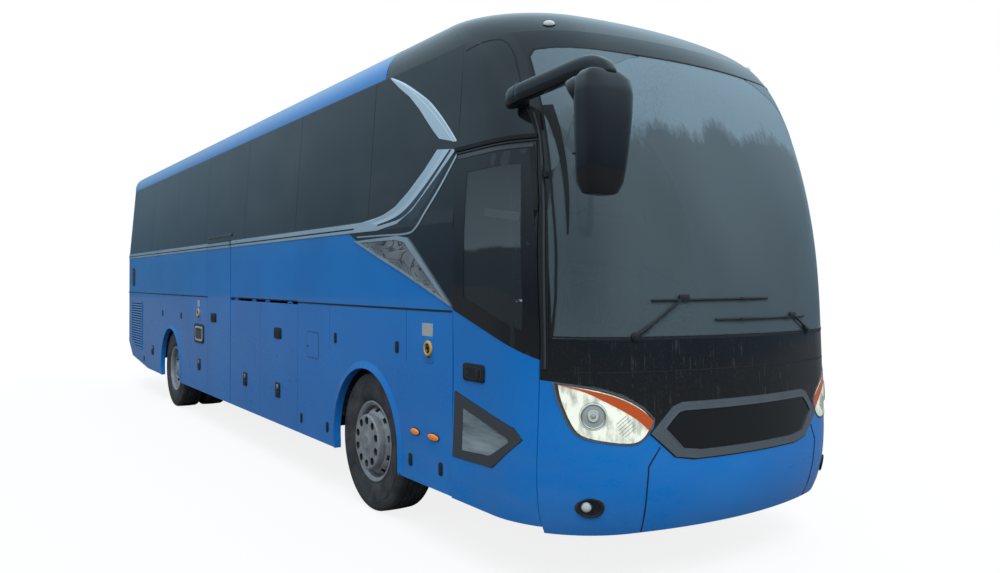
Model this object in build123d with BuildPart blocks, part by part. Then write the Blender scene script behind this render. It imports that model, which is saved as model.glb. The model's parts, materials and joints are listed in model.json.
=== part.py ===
"""Coach bus, full size, in millimetres.

+X runs to the nose, +Y to the left side and +Z up. The origin lies on the road, under the
middle of the overall box. Stations along the body are given as distances behind the nose.
"""
from build123d import *
from math import atan2, cos, pi, sin, sqrt
import os

os.makedirs("parts", exist_ok=True)

# ---------------------------------------------------------------- driving dimensions
body_length = 12000
half_width = 1275
skirt_z = 385                 # lower edge of the side panels
bumper_z = 345                # lower edge of the front bumper
belt_z = 2095                 # lower edge of the side glass
cant_z = 3210                 # where the side ends and the roof begins
wall = 45                     # thickness of walls, doors and flaps
glass = 12                    # thickness of a pane
mirror_reach = 260            # how far the mirror heads stand ahead of the nose

front_overhang = 2520
wheelbase = 6200
tyre_radius = 520
tyre_width = 290
rim_radius = 286
wheel_track_half = 1085       # middle of the front wheels and of the outer rear wheels
twin_spacing = 335            # middle of the outer rear wheel to the middle of the inner one
kingpin_y = 930
steer_arm = 200

seam = 6                      # gap round a panel that opens
hair = 0.3                    # gap round a pin or between flat layers
skin_gap = 0.5                # gap between curved layers
proud = 6                     # how far a trim stands out of the panel under it

nose_x = (body_length - mirror_reach) / 2
tail_x = nose_x - body_length
front_axle_x = nose_x - front_overhang
rear_axle_x = front_axle_x - wheelbase
hub_z = tyre_radius


def behind(distance):
    """The X of a station given as its distance behind the nose."""
    return nose_x - distance


# ---------------------------------------------------------------- outer form of the body
nose_arc = 3000               # plan radius of the nose
nose_corner = 648             # plan radius from the nose into the side
tail_arc = 9000
tail_corner = 260
cant_half_width = 1200

lean_out = half_width - cant_half_width   # how far the side leans in between belt and cant


def side_half(height):
    """Half width of the side at a height between the belt and the cant."""
    return half_width - lean_out * (height - belt_z) / (cant_z - belt_z)


# Plan sections of the nose: height, half width, set back of the nose, corner radius
NOSE_SECTIONS = [
    (bumper_z, half_width, 85, nose_corner),
    (850, half_width, 0, nose_corner),
    (1470, half_width, 30, nose_corner),
    (belt_z, half_width, 95, nose_corner),
    (2610, side_half(2610), 215, nose_corner),
    (3050, side_half(3050), 410, nose_corner),
    (cant_z, cant_half_width, 540, nose_corner),
]
DOME_SECTIONS = [
    (cant_z, cant_half_width, 540, nose_corner),
    (3340, 1160, 720, nose_corner),
    (3436, 1072, 930, nose_corner),
    (3495, 900, 1210, 600),
    (3536, 650, 1540, 450),
    (3567, 350, 1900, 250),
]
CEILING_SECTIONS = [
    (cant_z, cant_half_width, 540, nose_corner),
    (3400, 1010, 1000, nose_corner),
]
crown_z = 3580                # highest line of the roof
crown_low_z = 3475            # where the roof's edge arc meets its crown arc
crown_half = 993
tail_lean = 125               # how far the tail leans in at the cant
tail_dome = 700               # length over which the roof falls towards the tail
door_rear_x = nose_x - 1260   # rear edge of the front door
nose_split_x = door_rear_x    # behind this the body is straight
roof_split_x = nose_x - 2350  # seam between the roof and the front cap


def end_points(end_x, half, arc, corner, way):
    """Rounded end of a plan outline: crown end, corner middle and side start."""
    reach = sqrt((arc - corner) ** 2 - (half - corner) ** 2)
    centre_x = end_x - way * (arc - reach)
    lean = atan2(half - corner, reach)
    turn = (lean + pi / 2) / 2
    crown_end = (centre_x + way * corner * cos(lean), half - corner + corner * sin(lean))
    middle = (centre_x + way * corner * cos(turn), half - corner + corner * sin(turn))
    return crown_end, middle, (centre_x, half)


def mirrored(point):
    """The same plan point on the other side of the middle line."""
    return (point[0], -point[1])


def nose_edges(section, rear_x, inset):
    """Draw one closed plan outline of the nose, moved inwards by inset, in the current line."""
    height, half, nose_back, corner = section
    nose = nose_x - nose_back - inset
    crown_end, middle, side = end_points(nose, half - inset, nose_arc - inset, corner - inset, 1)
    rear = (rear_x, half - inset)
    ThreePointArc(mirrored(crown_end), (nose, 0), crown_end)
    ThreePointArc(crown_end, middle, side)
    Line(side, rear)
    Line(rear, mirrored(rear))
    Line(mirrored(rear), mirrored(side))
    ThreePointArc(mirrored(side), mirrored(middle), mirrored(crown_end))


def lofted(sections, rear_x, inset):
    """A solid through plan sections of the nose, moved inwards by inset."""
    with BuildPart() as form:
        for section in sections:
            with BuildSketch(Plane.XY.offset(section[0])):
                with BuildLine():
                    nose_edges(section, rear_x, inset)
                make_face()
        loft()
    return form.part


# Plan sections of the straight part: height, X of the tail and half width
STRAIGHT_SECTIONS = [(bumper_z, tail_x, half_width), (belt_z, tail_x, half_width),
                     (cant_z, tail_x + tail_lean, cant_half_width)]


def tail_edges(end_x, half, front_x, inset):
    """Draw one closed plan outline with the rounded tail at its rear, moved inwards by inset."""
    tail = end_x + inset
    side_y = half - inset
    crown_end, middle, side = end_points(tail, side_y, tail_arc - inset, tail_corner - inset, -1)
    ThreePointArc(crown_end, (tail, 0), mirrored(crown_end))
    ThreePointArc(mirrored(crown_end), mirrored(middle), mirrored(side))
    Line(mirrored(side), (front_x, -side_y))
    Line((front_x, -side_y), (front_x, side_y))
    Line((front_x, side_y), side)
    ThreePointArc(side, middle, crown_end)


def straight_form(inset):
    """The straight part of the body up to the cant, as a solid moved inwards by inset."""
    with BuildPart() as form:
        for lower, upper in zip(STRAIGHT_SECTIONS, STRAIGHT_SECTIONS[1:]):
            for height, end_x, half in (lower, upper):
                with BuildSketch(Plane.XY.offset(height)):
                    with BuildLine():
                        tail_edges(end_x, half, nose_split_x, inset)
                    make_face()
            loft(ruled=True)
    return form.part


def nose_form(inset):
    """The nose alone, in front of the straight part, moved inwards by inset."""
    return lofted(NOSE_SECTIONS, nose_split_x, inset)


def body_form(inset):
    """The body's walls up to the roof edge, as a solid moved inwards by inset."""
    with BuildPart() as form:
        add(straight_form(inset))
        add(nose_form(inset))
    return form.part


# ---------------------------------------------------------------- blocks that cut regions
def side_block(outline, y_low, y_high):
    """A prism over an outline of (x, z) points, from y_low to y_high."""
    with BuildPart() as block:
        with BuildSketch(Plane.XZ.offset(-y_high)):
            Polygon(*outline, align=None)
        extrude(amount=y_high - y_low)
    return block.part


def front_block(outline, x_low, x_high):
    """A prism over an outline of (y, z) points, from x_low to x_high."""
    with BuildPart() as block:
        with BuildSketch(Plane.YZ.offset(x_low)):
            Polygon(*outline, align=None)
        extrude(amount=x_high - x_low)
    return block.part


def box(x_low, x_high, y_low, y_high, z_low, z_high):
    """A box between its lowest and highest corners."""
    with BuildPart() as block:
        with Locations(((x_low + x_high) / 2, (y_low + y_high) / 2, (z_low + z_high) / 2)):
            Box(x_high - x_low, y_high - y_low, z_high - z_low)
    return block.part


def plate_box(x_low, x_high, y_low, y_high, z_low, z_high):
    """A box that leaves half a hair to its neighbours on every side, so that it stays a solid of its own."""
    gap = hair / 2
    return box(x_low + gap, x_high - gap, y_low + gap, y_high - gap, z_low + gap, z_high - gap)


def rod(start, end, radius):
    """A round bar from start to end."""
    axis = Vector(*end) - Vector(*start)
    with BuildPart() as bar:
        with BuildSketch(Plane(origin=start, z_dir=axis)):
            Circle(radius)
        extrude(amount=axis.length)
    return bar.part


def joined(*solids):
    """Several solids as one part."""
    with BuildPart() as group:
        for solid in solids:
            add(solid)
    return group.part


def common(first, second):
    """The space that two solids share."""
    with BuildPart() as shared:
        add(first)
        add(second, mode=Mode.INTERSECT)
    return shared.part


def without(first, second):
    """The first solid where the second one isn't."""
    with BuildPart() as rest:
        add(first)
        add(second, mode=Mode.SUBTRACT)
    return rest.part


def finish(node, name):
    """Label a finished piece and write it."""
    node.part.label = name
    export_step(node.part, f"parts/{name}.step")


far = 4000                    # beyond the body on every side

outer = body_form(0)
shell = without(outer, body_form(wall))
nose_shell = common(shell, box(nose_split_x, nose_x + 100, -far, far, bumper_z, cant_z))
recess = without(outer, body_form(glass))              # the layer that a wall gives up to its glass
pane_layer = without(outer, body_form(glass - skin_gap))
raised = without(body_form(-proud), body_form(-skin_gap))    # trims that stand on the surface

# ---------------------------------------------------------------- stations on the side
side_front_x = behind(460)            # front edge of the front door and of the side walls
door_top_z = 2510
middle_front_x = behind(5950)         # hinge edge of the middle door
middle_rear_x = behind(6870)
middle_top_z = 2165
flap_middle_x = behind(4950)          # seam between the two luggage flaps
flap_front_x = behind(3920)
flap_top_z = 1530                     # the lower seam, where the luggage flaps hang
tail_seam_x = tail_x + 300
tail_low_z = 720
arch_radius = 550
arch_lip = 28
mask_top_z = 1415

# Front edge of the side walls and the front door: it leans back with the windscreen
FRONT_EDGE = [(side_front_x, 0), (side_front_x, mask_top_z), (behind(505), 2175),
              (behind(565), door_top_z), (behind(800), cant_z)]

SIDE_OUTLINE = [
    (side_front_x, skirt_z),
] + FRONT_EDGE[1:] + [
    (tail_seam_x, cant_z),
    (tail_seam_x, tail_low_z),
    (behind(11390), 507),
    (behind(10220), 396),
    (behind(9000), skirt_z),
]

# Window openings in the wall behind the glass: rear edge and front edge, behind the nose
WINDOWS = [(11480, 10070), (9950, 8570), (8450, 7070), (6950, 5570), (5450, 4070), (3950, 2560),
           (2440, 1360)]
window_low_z = belt_z + 125
window_high_z = cant_z - 100
# Panes of the dark side band: rear edge, front edge and lower edge
pane_low_z = belt_z + 81
pane_high_z = cant_z - 8
PANES = [(11680, 10010, pane_low_z), (10010, 8510, pane_low_z), (8510, 7010, pane_low_z),
         (7010, 5510, pane_low_z), (5510, 4010, pane_low_z), (4010, 2500, pane_low_z),
         (2500, 1260, pane_low_z)]
# The pane over the front door, as (x, z) points
HIGH_PANE = [(behind(1258), door_top_z + 40), (behind(590), door_top_z + 40), (behind(808), pane_high_z),
             (behind(1258), pane_high_z)]
pane_seam = 5


side_near = 1100                      # the side walls lie further out than this
# Fixed panel joints of the sides: distance behind the nose, lowest and highest point
PANEL_JOINTS = [(1870, 1180, 1530), (3200, 1180, 1530), (7680, 390, 2090), (9355, 1180, 2090),
                (10530, 420, 2090)]
joint_width = 6
joint_depth = 5


def side_span(way):
    """Lowest and highest Y of the space that holds one side wall."""
    return (side_near, far) if way > 0 else (-far, -side_near)


def disc(axle_x, radius, y_low, y_high):
    """A round block centred on an axle."""
    return rod((axle_x, y_low, hub_z), (axle_x, y_high, hub_z), radius)


# ---------------------------------------------------------------- hinges of doors and flaps
knuckle_radius = 6
hinge_pin_radius = 3
knuckle_length = 60
moving_length = 26
axis_inset = knuckle_radius + 2       # hinge axis below the outer surface
edge_gap = 2 * knuckle_radius         # hinge axis to the edge of each panel
axis_y = half_width - axis_inset


def hinge_web(start, end, along, length):
    """A flat web from a hinge axis to the panel that it belongs to."""
    with BuildPart() as web:
        with Locations(Plane(origin=(start + end) / 2, x_dir=along, z_dir=end - start)):
            Box(length, knuckle_radius, (end - start).length)
    return web.part


def fixed_knuckle(centre, along, web_end):
    """The body's part of a hinge: a barrel with a pin at each end and a web to the wall."""
    middle = Vector(*centre)
    half = along * (knuckle_length / 2)
    tip = along * (knuckle_length / 2 + moving_length + 2)
    with BuildPart() as knuckle:
        add(rod(tuple(middle - half), tuple(middle + half), knuckle_radius))
        add(rod(tuple(middle - tip), tuple(middle + tip), hinge_pin_radius))
        add(hinge_web(middle, Vector(*web_end), along, knuckle_length))
    return knuckle.part


def moving_knuckles(centre, along, web_end):
    """The panel's part of the same hinge: two bored barrels with webs to the panel."""
    middle = Vector(*centre)
    reach = Vector(*web_end) - middle
    bore = along * knuckle_length
    with BuildPart() as knuckle:
        for end in (-1, 1):
            start = middle + along * (end * (knuckle_length / 2 + 1))
            stop = start + along * (end * moving_length)
            centre_line = (start + stop) / 2
            add(rod(tuple(start), tuple(stop), knuckle_radius))
            add(hinge_web(centre_line, centre_line + reach, along, moving_length))
        add(rod(tuple(middle - bore), tuple(middle + bore), hinge_pin_radius + hair),
            mode=Mode.SUBTRACT)
    return knuckle.part


# ---------------------------------------------------------------- luggage flaps
# Name, side, rear edge and front edge of each top-hinged flap
FLAPS = [
    ("flap_right_rear", -1, middle_front_x + edge_gap, flap_middle_x - seam / 2),
    ("flap_right_front", -1, flap_middle_x + seam / 2, flap_front_x - seam / 2),
    ("flap_left_rear", 1, middle_front_x + seam / 2, flap_middle_x - seam / 2),
    ("flap_left_front", 1, flap_middle_x + seam / 2, flap_front_x - seam / 2),
]


def flap_hinges(rear, front):
    """The two places of a flap's hinges along X."""
    return (rear + 0.2 * (front - rear), front - 0.2 * (front - rear))


for name, way, rear, front in FLAPS:
    with BuildPart() as flap:
        add(shell)
        add(box(rear, front, *side_span(way), skirt_z, flap_top_z - edge_gap), mode=Mode.INTERSECT)
        for hinge_x in flap_hinges(rear, front):
            add(moving_knuckles((hinge_x, way * axis_y, flap_top_z), Vector(1, 0, 0),
                                (hinge_x, way * axis_y, flap_top_z - edge_gap - knuckle_radius)))
    finish(flap, name)


# ---------------------------------------------------------------- side walls
def window_cut(rear, front, y_low, y_high):
    """One window opening with rounded corners, through the wall."""
    with BuildPart() as cut:
        with BuildSketch(Plane.XZ.offset(-y_high)):
            with Locations(((behind(rear) + behind(front)) / 2, (window_low_z + window_high_z) / 2)):
                RectangleRounded(rear - front, window_high_z - window_low_z, 70)
        extrude(amount=y_high - y_low)
    return cut.part


def arch_lips(way):
    """The raised lips round the wheel arches of one side."""
    y_low, y_high = sorted((way * (half_width - 10), way * (half_width + 8)))
    with BuildPart() as lips:
        for axle_x in (front_axle_x, rear_axle_x):
            add(disc(axle_x, arch_radius + arch_lip, y_low, y_high))
        add(box(tail_x, nose_x, y_low, y_high, -far, skirt_z), mode=Mode.SUBTRACT)
    return lips.part


def pane_blocks(way, gap):
    """Blocks round the panes of one side, each narrower than its place by the gap."""
    with BuildPart() as blocks:
        for rear, front, low in PANES:
            add(box(behind(rear) + gap / 2, behind(front) - gap / 2, *side_span(way), low, pane_high_z))
        add(side_block(HIGH_PANE, *side_span(way)))
    return blocks.part


def panel_joints(way):
    """Shallow grooves where fixed side panels meet."""
    y_low, y_high = sorted((way * (half_width - joint_depth), way * (half_width + 20)))
    with BuildPart() as grooves:
        for station, low, high in PANEL_JOINTS:
            add(box(behind(station) - joint_width / 2, behind(station) + joint_width / 2, y_low, y_high,
                    low, high))
        add(box(tail_seam_x, middle_rear_x - 20, y_low, y_high, flap_top_z - joint_width / 2,
                flap_top_z + joint_width / 2))
        add(box(flap_front_x + 20, door_rear_x - 20, y_low, y_high, flap_top_z - joint_width / 2,
                flap_top_z + joint_width / 2))
    return grooves.part


def side_wall(way):
    """One side of the body, with its windows, arches, the luggage opening and glass recess."""
    y_low, y_high = side_span(way)
    with BuildPart() as side:
        add(shell)
        add(side_block(SIDE_OUTLINE, y_low, y_high), mode=Mode.INTERSECT)
        add(arch_lips(way))
        for rear, front in WINDOWS:
            add(window_cut(rear, front, y_low, y_high), mode=Mode.SUBTRACT)
        for axle_x in (front_axle_x, rear_axle_x):
            add(disc(axle_x, arch_radius, y_low, y_high), mode=Mode.SUBTRACT)
            add(box(axle_x - arch_radius + 5, axle_x + arch_radius - 5, y_low, y_high, 0, hub_z - 60),
                mode=Mode.SUBTRACT)
        add(box(middle_front_x, flap_front_x + seam / 2, y_low, y_high, 0, flap_top_z + edge_gap),
            mode=Mode.SUBTRACT)
        add(common(recess, pane_blocks(way, 0)), mode=Mode.SUBTRACT)
        add(panel_joints(way), mode=Mode.SUBTRACT)
        for name, flap_way, rear, front in FLAPS:
            if flap_way == way:
                for hinge_x in flap_hinges(rear, front):
                    add(fixed_knuckle((hinge_x, way * axis_y, flap_top_z), Vector(1, 0, 0),
                                      (hinge_x, way * axis_y, flap_top_z + edge_gap + knuckle_radius)))
    return side.part


jamb_depth = 60
middle_hinge_heights = (620, 1340, 1960)
with BuildPart() as side_wall_right:
    add(side_wall(-1))
    add(box(door_rear_x - seam / 2, side_front_x + 10, *side_span(-1), 0, door_top_z + seam),
        mode=Mode.SUBTRACT)
    add(box(middle_rear_x - seam / 2, middle_front_x + edge_gap, *side_span(-1), 0,
            middle_top_z + seam), mode=Mode.SUBTRACT)
    jamb_y = -(half_width - wall - seam)
    add(box(middle_front_x - 30, middle_front_x + 30, jamb_y, jamb_y + jamb_depth,
            skirt_z + 60, middle_top_z + 60))
    add(box(middle_front_x + edge_gap, middle_front_x + 30, jamb_y - seam - 4, jamb_y + jamb_depth,
            flap_top_z + edge_gap, middle_top_z + 60))
    for height in middle_hinge_heights:
        add(fixed_knuckle((middle_front_x, -axis_y, height), Vector(0, 0, 1),
                          (middle_front_x, jamb_y + 6, height)))
finish(side_wall_right, "side_wall_right")

with BuildPart() as side_wall_left:
    add(side_wall(1))
finish(side_wall_left, "side_wall_left")

# ---------------------------------------------------------------- side glass and trims
with BuildPart() as side_glass:
    add(common(pane_layer, joined(pane_blocks(-1, pane_seam), pane_blocks(1, pane_seam))))
finish(side_glass, "side_glass")

trim_height = 70
# The chrome belt and the two swept bars near the front, as (behind the nose, height) outlines
BELT = [(11700, belt_z), (2850, belt_z), (2850, belt_z + trim_height), (11700, belt_z + trim_height)]
LOWER_SWEEP = [(2850, belt_z), (2330, 2092), (2020, 2125), (1800, 2207), (1590, 2340), (1270, 2550),
               (1510, 2578), (1666, 2463), (1875, 2336), (2097, 2228), (2417, 2168), (2850, 2165)]
UPPER_SWEEP = [(2269, 3201), (2117, 3143), (1957, 3069), (1677, 2926), (1512, 2805), (1371, 2685),
               (1279, 2597), (1493, 2646), (1578, 2710), (1679, 2795), (1791, 2892), (1943, 3004),
               (2111, 3099)]


def at_stations(outline):
    """An outline of (distance behind the nose, height) as (x, z) points."""
    return [(behind(distance), height) for distance, height in outline]


with BuildPart() as trim_region:
    for way in (-1, 1):
        for outline in (BELT, LOWER_SWEEP, UPPER_SWEEP):
            add(side_block(at_stations(outline), *side_span(way)))

with BuildPart() as belt_trim:
    add(raised)
    add(trim_region.part, mode=Mode.INTERSECT)
    add(box(middle_rear_x - seam, middle_front_x + edge_gap, *side_span(-1), belt_z - 10,
            belt_z + trim_height + 10), mode=Mode.SUBTRACT)
finish(belt_trim, "belt_trim")

# ---------------------------------------------------------------- middle door
with BuildPart() as middle_door:
    add(shell)
    add(box(middle_rear_x + seam / 2, middle_front_x - edge_gap, *side_span(-1), skirt_z,
            middle_top_z), mode=Mode.INTERSECT)
    for height in middle_hinge_heights:
        add(moving_knuckles((middle_front_x, -axis_y, height), Vector(0, 0, 1),
                            (middle_front_x - edge_gap - knuckle_radius, -axis_y, height)))
finish(middle_door, "middle_door")

# ---------------------------------------------------------------- front door
# Outlines in (behind the nose, height)
DOOR_GLASS = [(1250, 1545), (474, 1300), (474, mask_top_z), (519, 2175), (577, 2495), (1250, 2495)]
DOOR_VIEW = [(1130, 1625), (570, 1445), (640, 2400), (1130, 2400)]
DOOR_LOW_GLASS = [(1240, 1050), (614, 906), (551, 846), (800, 650), (1240, 640)]
DOOR_LOW_VIEW = [(1140, 958), (632, 833), (832, 711), (1138, 696)]
door_low_z = 380
DOOR_OUTLINE = [
    (door_rear_x + seam / 2, door_low_z),
    (side_front_x - seam, door_low_z),
    (side_front_x - seam, mask_top_z),
    (behind(505) - seam, 2175),
    (behind(565) - seam, door_top_z),
    (door_rear_x + seam / 2, door_top_z),
]
arm_pivot = (behind(640), -1050)      # X and Y of the door's turning pillar
arm_length = 500
arm_heights = (760, 2050)
arm_half = 14
door_pin_x = arm_pivot[0] - arm_length
door_pin_radius = 12

with BuildPart() as door_glass_region:
    add(side_block(at_stations(DOOR_GLASS), *side_span(-1)))
    add(side_block(at_stations(DOOR_LOW_GLASS), *side_span(-1)))

with BuildPart() as front_door:
    add(nose_shell)
    add(side_block(DOOR_OUTLINE, *side_span(-1)), mode=Mode.INTERSECT)
    add(common(recess, door_glass_region.part), mode=Mode.SUBTRACT)
    add(side_block(at_stations(DOOR_VIEW), *side_span(-1)), mode=Mode.SUBTRACT)
    add(side_block(at_stations(DOOR_LOW_VIEW), *side_span(-1)), mode=Mode.SUBTRACT)
    inner_y = -(half_width - wall)
    for height in arm_heights:
        # A bracket over the arm, with a bore for the arm's pin
        add(box(door_pin_x - 40, door_pin_x + 40, inner_y - 5, arm_pivot[1] + 30,
                height + arm_half + 5, height + arm_half + 25))
        add(rod((door_pin_x, arm_pivot[1], height), (door_pin_x, arm_pivot[1], height + 60),
                door_pin_radius + hair), mode=Mode.SUBTRACT)
finish(front_door, "front_door")

with BuildPart() as front_door_glass:
    add(pane_layer)
    add(door_glass_region.part, mode=Mode.INTERSECT)
finish(front_door_glass, "front_door_glass")

step_z = 400                          # top of the lowest step
driver_floor_z = 890
header_z = 2300                       # the bracket that holds the pillar's top
with BuildPart() as door_arms:
    add(rod((*arm_pivot, step_z + hair), (*arm_pivot, header_z - hair), 25))
    for height in arm_heights:
        add(box(door_pin_x - 25, arm_pivot[0], arm_pivot[1] - 25, arm_pivot[1] + 25,
                height - arm_half, height + arm_half))
        add(rod((door_pin_x, arm_pivot[1], height), (door_pin_x, arm_pivot[1], height + 45),
                door_pin_radius))
finish(door_arms, "door_arms")

# ---------------------------------------------------------------- front end
# Outlines in front view, (y, z), right half only: mirrored by both_halves
LAMP_TOP = [(1168, 1182), (995, 1157), (877, 1118), (766, 1050), (700, 982)]
MASK_EDGE = [(1275, 1195)] + LAMP_TOP + [(718, 905), (575, 765)]
HEADLAMP = LAMP_TOP + [(735, 905), (793, 857), (865, 845), (996, 863), (1079, 888), (1123, 955),
                       (1157, 1086)]
WINDSCREEN = [(1166, mask_top_z), (1172, 1900), (1150, 2500), (1095, 2980), (1055, 3050), (980, 3075)]
WINDSCREEN_VIEW = [(1090, mask_top_z + 90), (1095, 1900), (1075, 2500), (1010, 2960), (950, 2990)]
GRILLE_OUTER = [(729, 905), (663, 972), (590, 1045), (528, 1065), (0, 1072)]
fog_y = 1024
fog_z = 511


def both_halves(half):
    """A closed outline from its half, mirrored in the middle line."""
    return half + [(-y, z) for y, z in half[::-1]]


def flipped(outline):
    """The same outline on the other side of the middle line."""
    return [(-y, z) for y, z in outline]


nose_span = (side_front_x, nose_x + 100)
with BuildPart() as mask_region:
    add(front_block(both_halves([(1275, mask_top_z)] + MASK_EDGE), *nose_span))

with BuildPart() as headlamp_region:
    add(front_block(HEADLAMP, *nose_span))
    add(front_block(flipped(HEADLAMP), *nose_span))

with BuildPart() as fog_region:
    with BuildSketch(Plane.YZ.offset(side_front_x)):
        with Locations((fog_y, fog_z), (-fog_y, fog_z)):
            Ellipse(66, 50)
    extrude(amount=600)

with BuildPart() as front_bumper:
    add(nose_shell)
    add(box(side_front_x, nose_x + 100, -far, far, bumper_z, mask_top_z), mode=Mode.INTERSECT)
    add(mask_region.part, mode=Mode.SUBTRACT)
    add(headlamp_region.part, mode=Mode.SUBTRACT)
    add(fog_region.part, mode=Mode.SUBTRACT)
finish(front_bumper, "front_bumper")

with BuildPart() as front_lamps:
    add(nose_shell)
    add(joined(headlamp_region.part, fog_region.part), mode=Mode.INTERSECT)
finish(front_lamps, "front_lamps")

with BuildPart() as front_mask:
    add(nose_shell)
    add(mask_region.part, mode=Mode.INTERSECT)
finish(front_mask, "front_mask")

GRILLE_LOWER = [(0, 750), (441, 750), (575, 768)]
GRILLE_HOLE = [(430, 782), (562, 799), (690, 905), (640, 955), (575, 1018), (520, 1037)]
with BuildPart() as grille_region:
    add(front_block(both_halves(GRILLE_LOWER + GRILLE_OUTER[:-1]), *nose_span))
    add(front_block(both_halves(GRILLE_HOLE), *nose_span), mode=Mode.SUBTRACT)

with BuildPart() as grille_frame:
    add(nose_form(-proud))
    add(nose_form(-skin_gap), mode=Mode.SUBTRACT)
    add(grille_region.part, mode=Mode.INTERSECT)
finish(grille_frame, "grille_frame")

with BuildPart() as windscreen_region:
    add(front_block(both_halves(WINDSCREEN), *nose_span))

with BuildPart() as windscreen:
    add(pane_layer)
    add(windscreen_region.part, mode=Mode.INTERSECT)
finish(windscreen, "windscreen")

# ---------------------------------------------------------------- roof and front cap
ceiling_z = CEILING_SECTIONS[-1][0]
ceiling_half = CEILING_SECTIONS[-1][1] - wall
with BuildPart() as cap_roof:
    add(lofted(DOME_SECTIONS, roof_split_x, 0))
    add(lofted(CEILING_SECTIONS, roof_split_x - 10, wall), mode=Mode.SUBTRACT)

ceiling_rear_x = tail_x + tail_lean + 380
hatch_xs = (behind(3600), behind(8400))
with BuildPart() as roof:
    with BuildSketch(Plane.YZ.offset(tail_x)):
        with BuildLine():
            ThreePointArc((-cant_half_width, cant_z), (-1072, 3436), (-crown_half, crown_low_z))
            ThreePointArc((-crown_half, crown_low_z), (0, crown_z), (crown_half, crown_low_z))
            ThreePointArc((crown_half, crown_low_z), (1072, 3436), (cant_half_width, cant_z))
            Line((cant_half_width, cant_z), (-cant_half_width, cant_z))
        make_face()
    extrude(amount=roof_split_x - tail_x)
    with BuildSketch(Plane.YZ.offset(ceiling_rear_x)):
        Polygon((-cant_half_width + wall, cant_z), (-ceiling_half, ceiling_z), (ceiling_half, ceiling_z),
                (cant_half_width - wall, cant_z), align=None)
    extrude(amount=roof_split_x - ceiling_rear_x, mode=Mode.SUBTRACT)
    with BuildSketch(Plane.XZ.offset(-2000)):
        with BuildLine():
            tail_cant = (tail_x + tail_lean, cant_z)
            tail_top = (tail_x + tail_lean + tail_dome, crown_z)
            ThreePointArc(tail_cant, (tail_cant[0] + 0.25 * tail_dome, cant_z + 0.68 * (crown_z - cant_z)),
                          tail_top)
            Line(tail_top, (roof_split_x, crown_z))
            Line((roof_split_x, crown_z), (roof_split_x, cant_z))
            Line((roof_split_x, cant_z), tail_cant)
        make_face()
    extrude(amount=4000, mode=Mode.INTERSECT)
    with BuildSketch(Plane.XY.offset(cant_z)):
        with BuildLine():
            tail_edges(tail_x + tail_lean, cant_half_width, roof_split_x, 0)
        make_face()
    extrude(amount=crown_z - cant_z, mode=Mode.INTERSECT)
    for hatch_x in hatch_xs:
        add(box(hatch_x - 400, hatch_x + 400, -350, 350, crown_z - 60, crown_z + 12))
finish(roof, "roof")

with BuildPart() as cap_region:
    add(side_block(FRONT_EDGE[1:] + [(nose_x, cant_z), (nose_x, mask_top_z)], -far, far))
    add(box(nose_split_x, nose_x, -side_near, side_near, 2900, cant_z))

with BuildPart() as front_cap:
    add(nose_shell)
    add(cap_region.part, mode=Mode.INTERSECT)
    add(common(recess, windscreen_region.part), mode=Mode.SUBTRACT)
    add(front_block(both_halves(WINDSCREEN_VIEW), *nose_span), mode=Mode.SUBTRACT)
    add(cap_roof.part)
    # Bracket on the front post, which holds the top of the door's pillar
    add(box(arm_pivot[0] - 35, side_front_x - 15, arm_pivot[1] - 35, arm_pivot[1] + 35,
            header_z, header_z + 30))
    add(box(side_front_x - 45, side_front_x - 15, arm_pivot[1] - 110, arm_pivot[1] + 35,
            header_z, header_z + 30))
finish(front_cap, "front_cap")

# ---------------------------------------------------------------- rear end
hatch_half = 860
hatch_low_z = 800
hatch_top_z = 1900
hatch_hinge_ys = (-350, 350)
hatch_axis_x = tail_x + axis_inset
REAR_WINDOW = [(1000, 2290), (1000, 3040)]
REAR_VIEW = [(920, 2370), (920, 2960)]
TAIL_LAMP = [(1230, 1150), (1230, 1750), (950, 1750), (950, 1150)]
tail_span = (tail_x - 100, tail_seam_x)

with BuildPart() as tail_lamp_region:
    add(front_block(TAIL_LAMP, *tail_span))
    add(front_block(flipped(TAIL_LAMP), *tail_span))

with BuildPart() as rear_window_region:
    add(front_block(both_halves(REAR_WINDOW), *tail_span))

with BuildPart() as rear_wall:
    add(shell)
    add(box(tail_x - 100, tail_seam_x, -far, far, tail_low_z, cant_z), mode=Mode.INTERSECT)
    add(box(tail_x - 100, tail_seam_x, -hatch_half - seam, hatch_half + seam,
            hatch_low_z - seam, hatch_top_z + edge_gap), mode=Mode.SUBTRACT)
    add(tail_lamp_region.part, mode=Mode.SUBTRACT)
    add(common(recess, rear_window_region.part), mode=Mode.SUBTRACT)
    add(front_block(both_halves(REAR_VIEW), *tail_span), mode=Mode.SUBTRACT)
    for hinge_y in hatch_hinge_ys:
        add(fixed_knuckle((hatch_axis_x, hinge_y, hatch_top_z), Vector(0, 1, 0),
                          (hatch_axis_x + 14, hinge_y, hatch_top_z + edge_gap + 14)))
finish(rear_wall, "rear_wall")

with BuildPart() as rear_window:
    add(pane_layer)
    add(rear_window_region.part, mode=Mode.INTERSECT)
finish(rear_window, "rear_window")

with BuildPart() as tail_lamps:
    add(shell)
    add(tail_lamp_region.part, mode=Mode.INTERSECT)
finish(tail_lamps, "tail_lamps")

with BuildPart() as engine_hatch:
    add(shell)
    add(box(tail_x - 100, tail_seam_x, -hatch_half, hatch_half, hatch_low_z,
            hatch_top_z - edge_gap), mode=Mode.INTERSECT)
    for hinge_y in hatch_hinge_ys:
        add(moving_knuckles((hatch_axis_x, hinge_y, hatch_top_z), Vector(0, 1, 0),
                            (hatch_axis_x + 14, hinge_y, hatch_top_z - edge_gap - 14)))
finish(engine_hatch, "engine_hatch")

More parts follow.
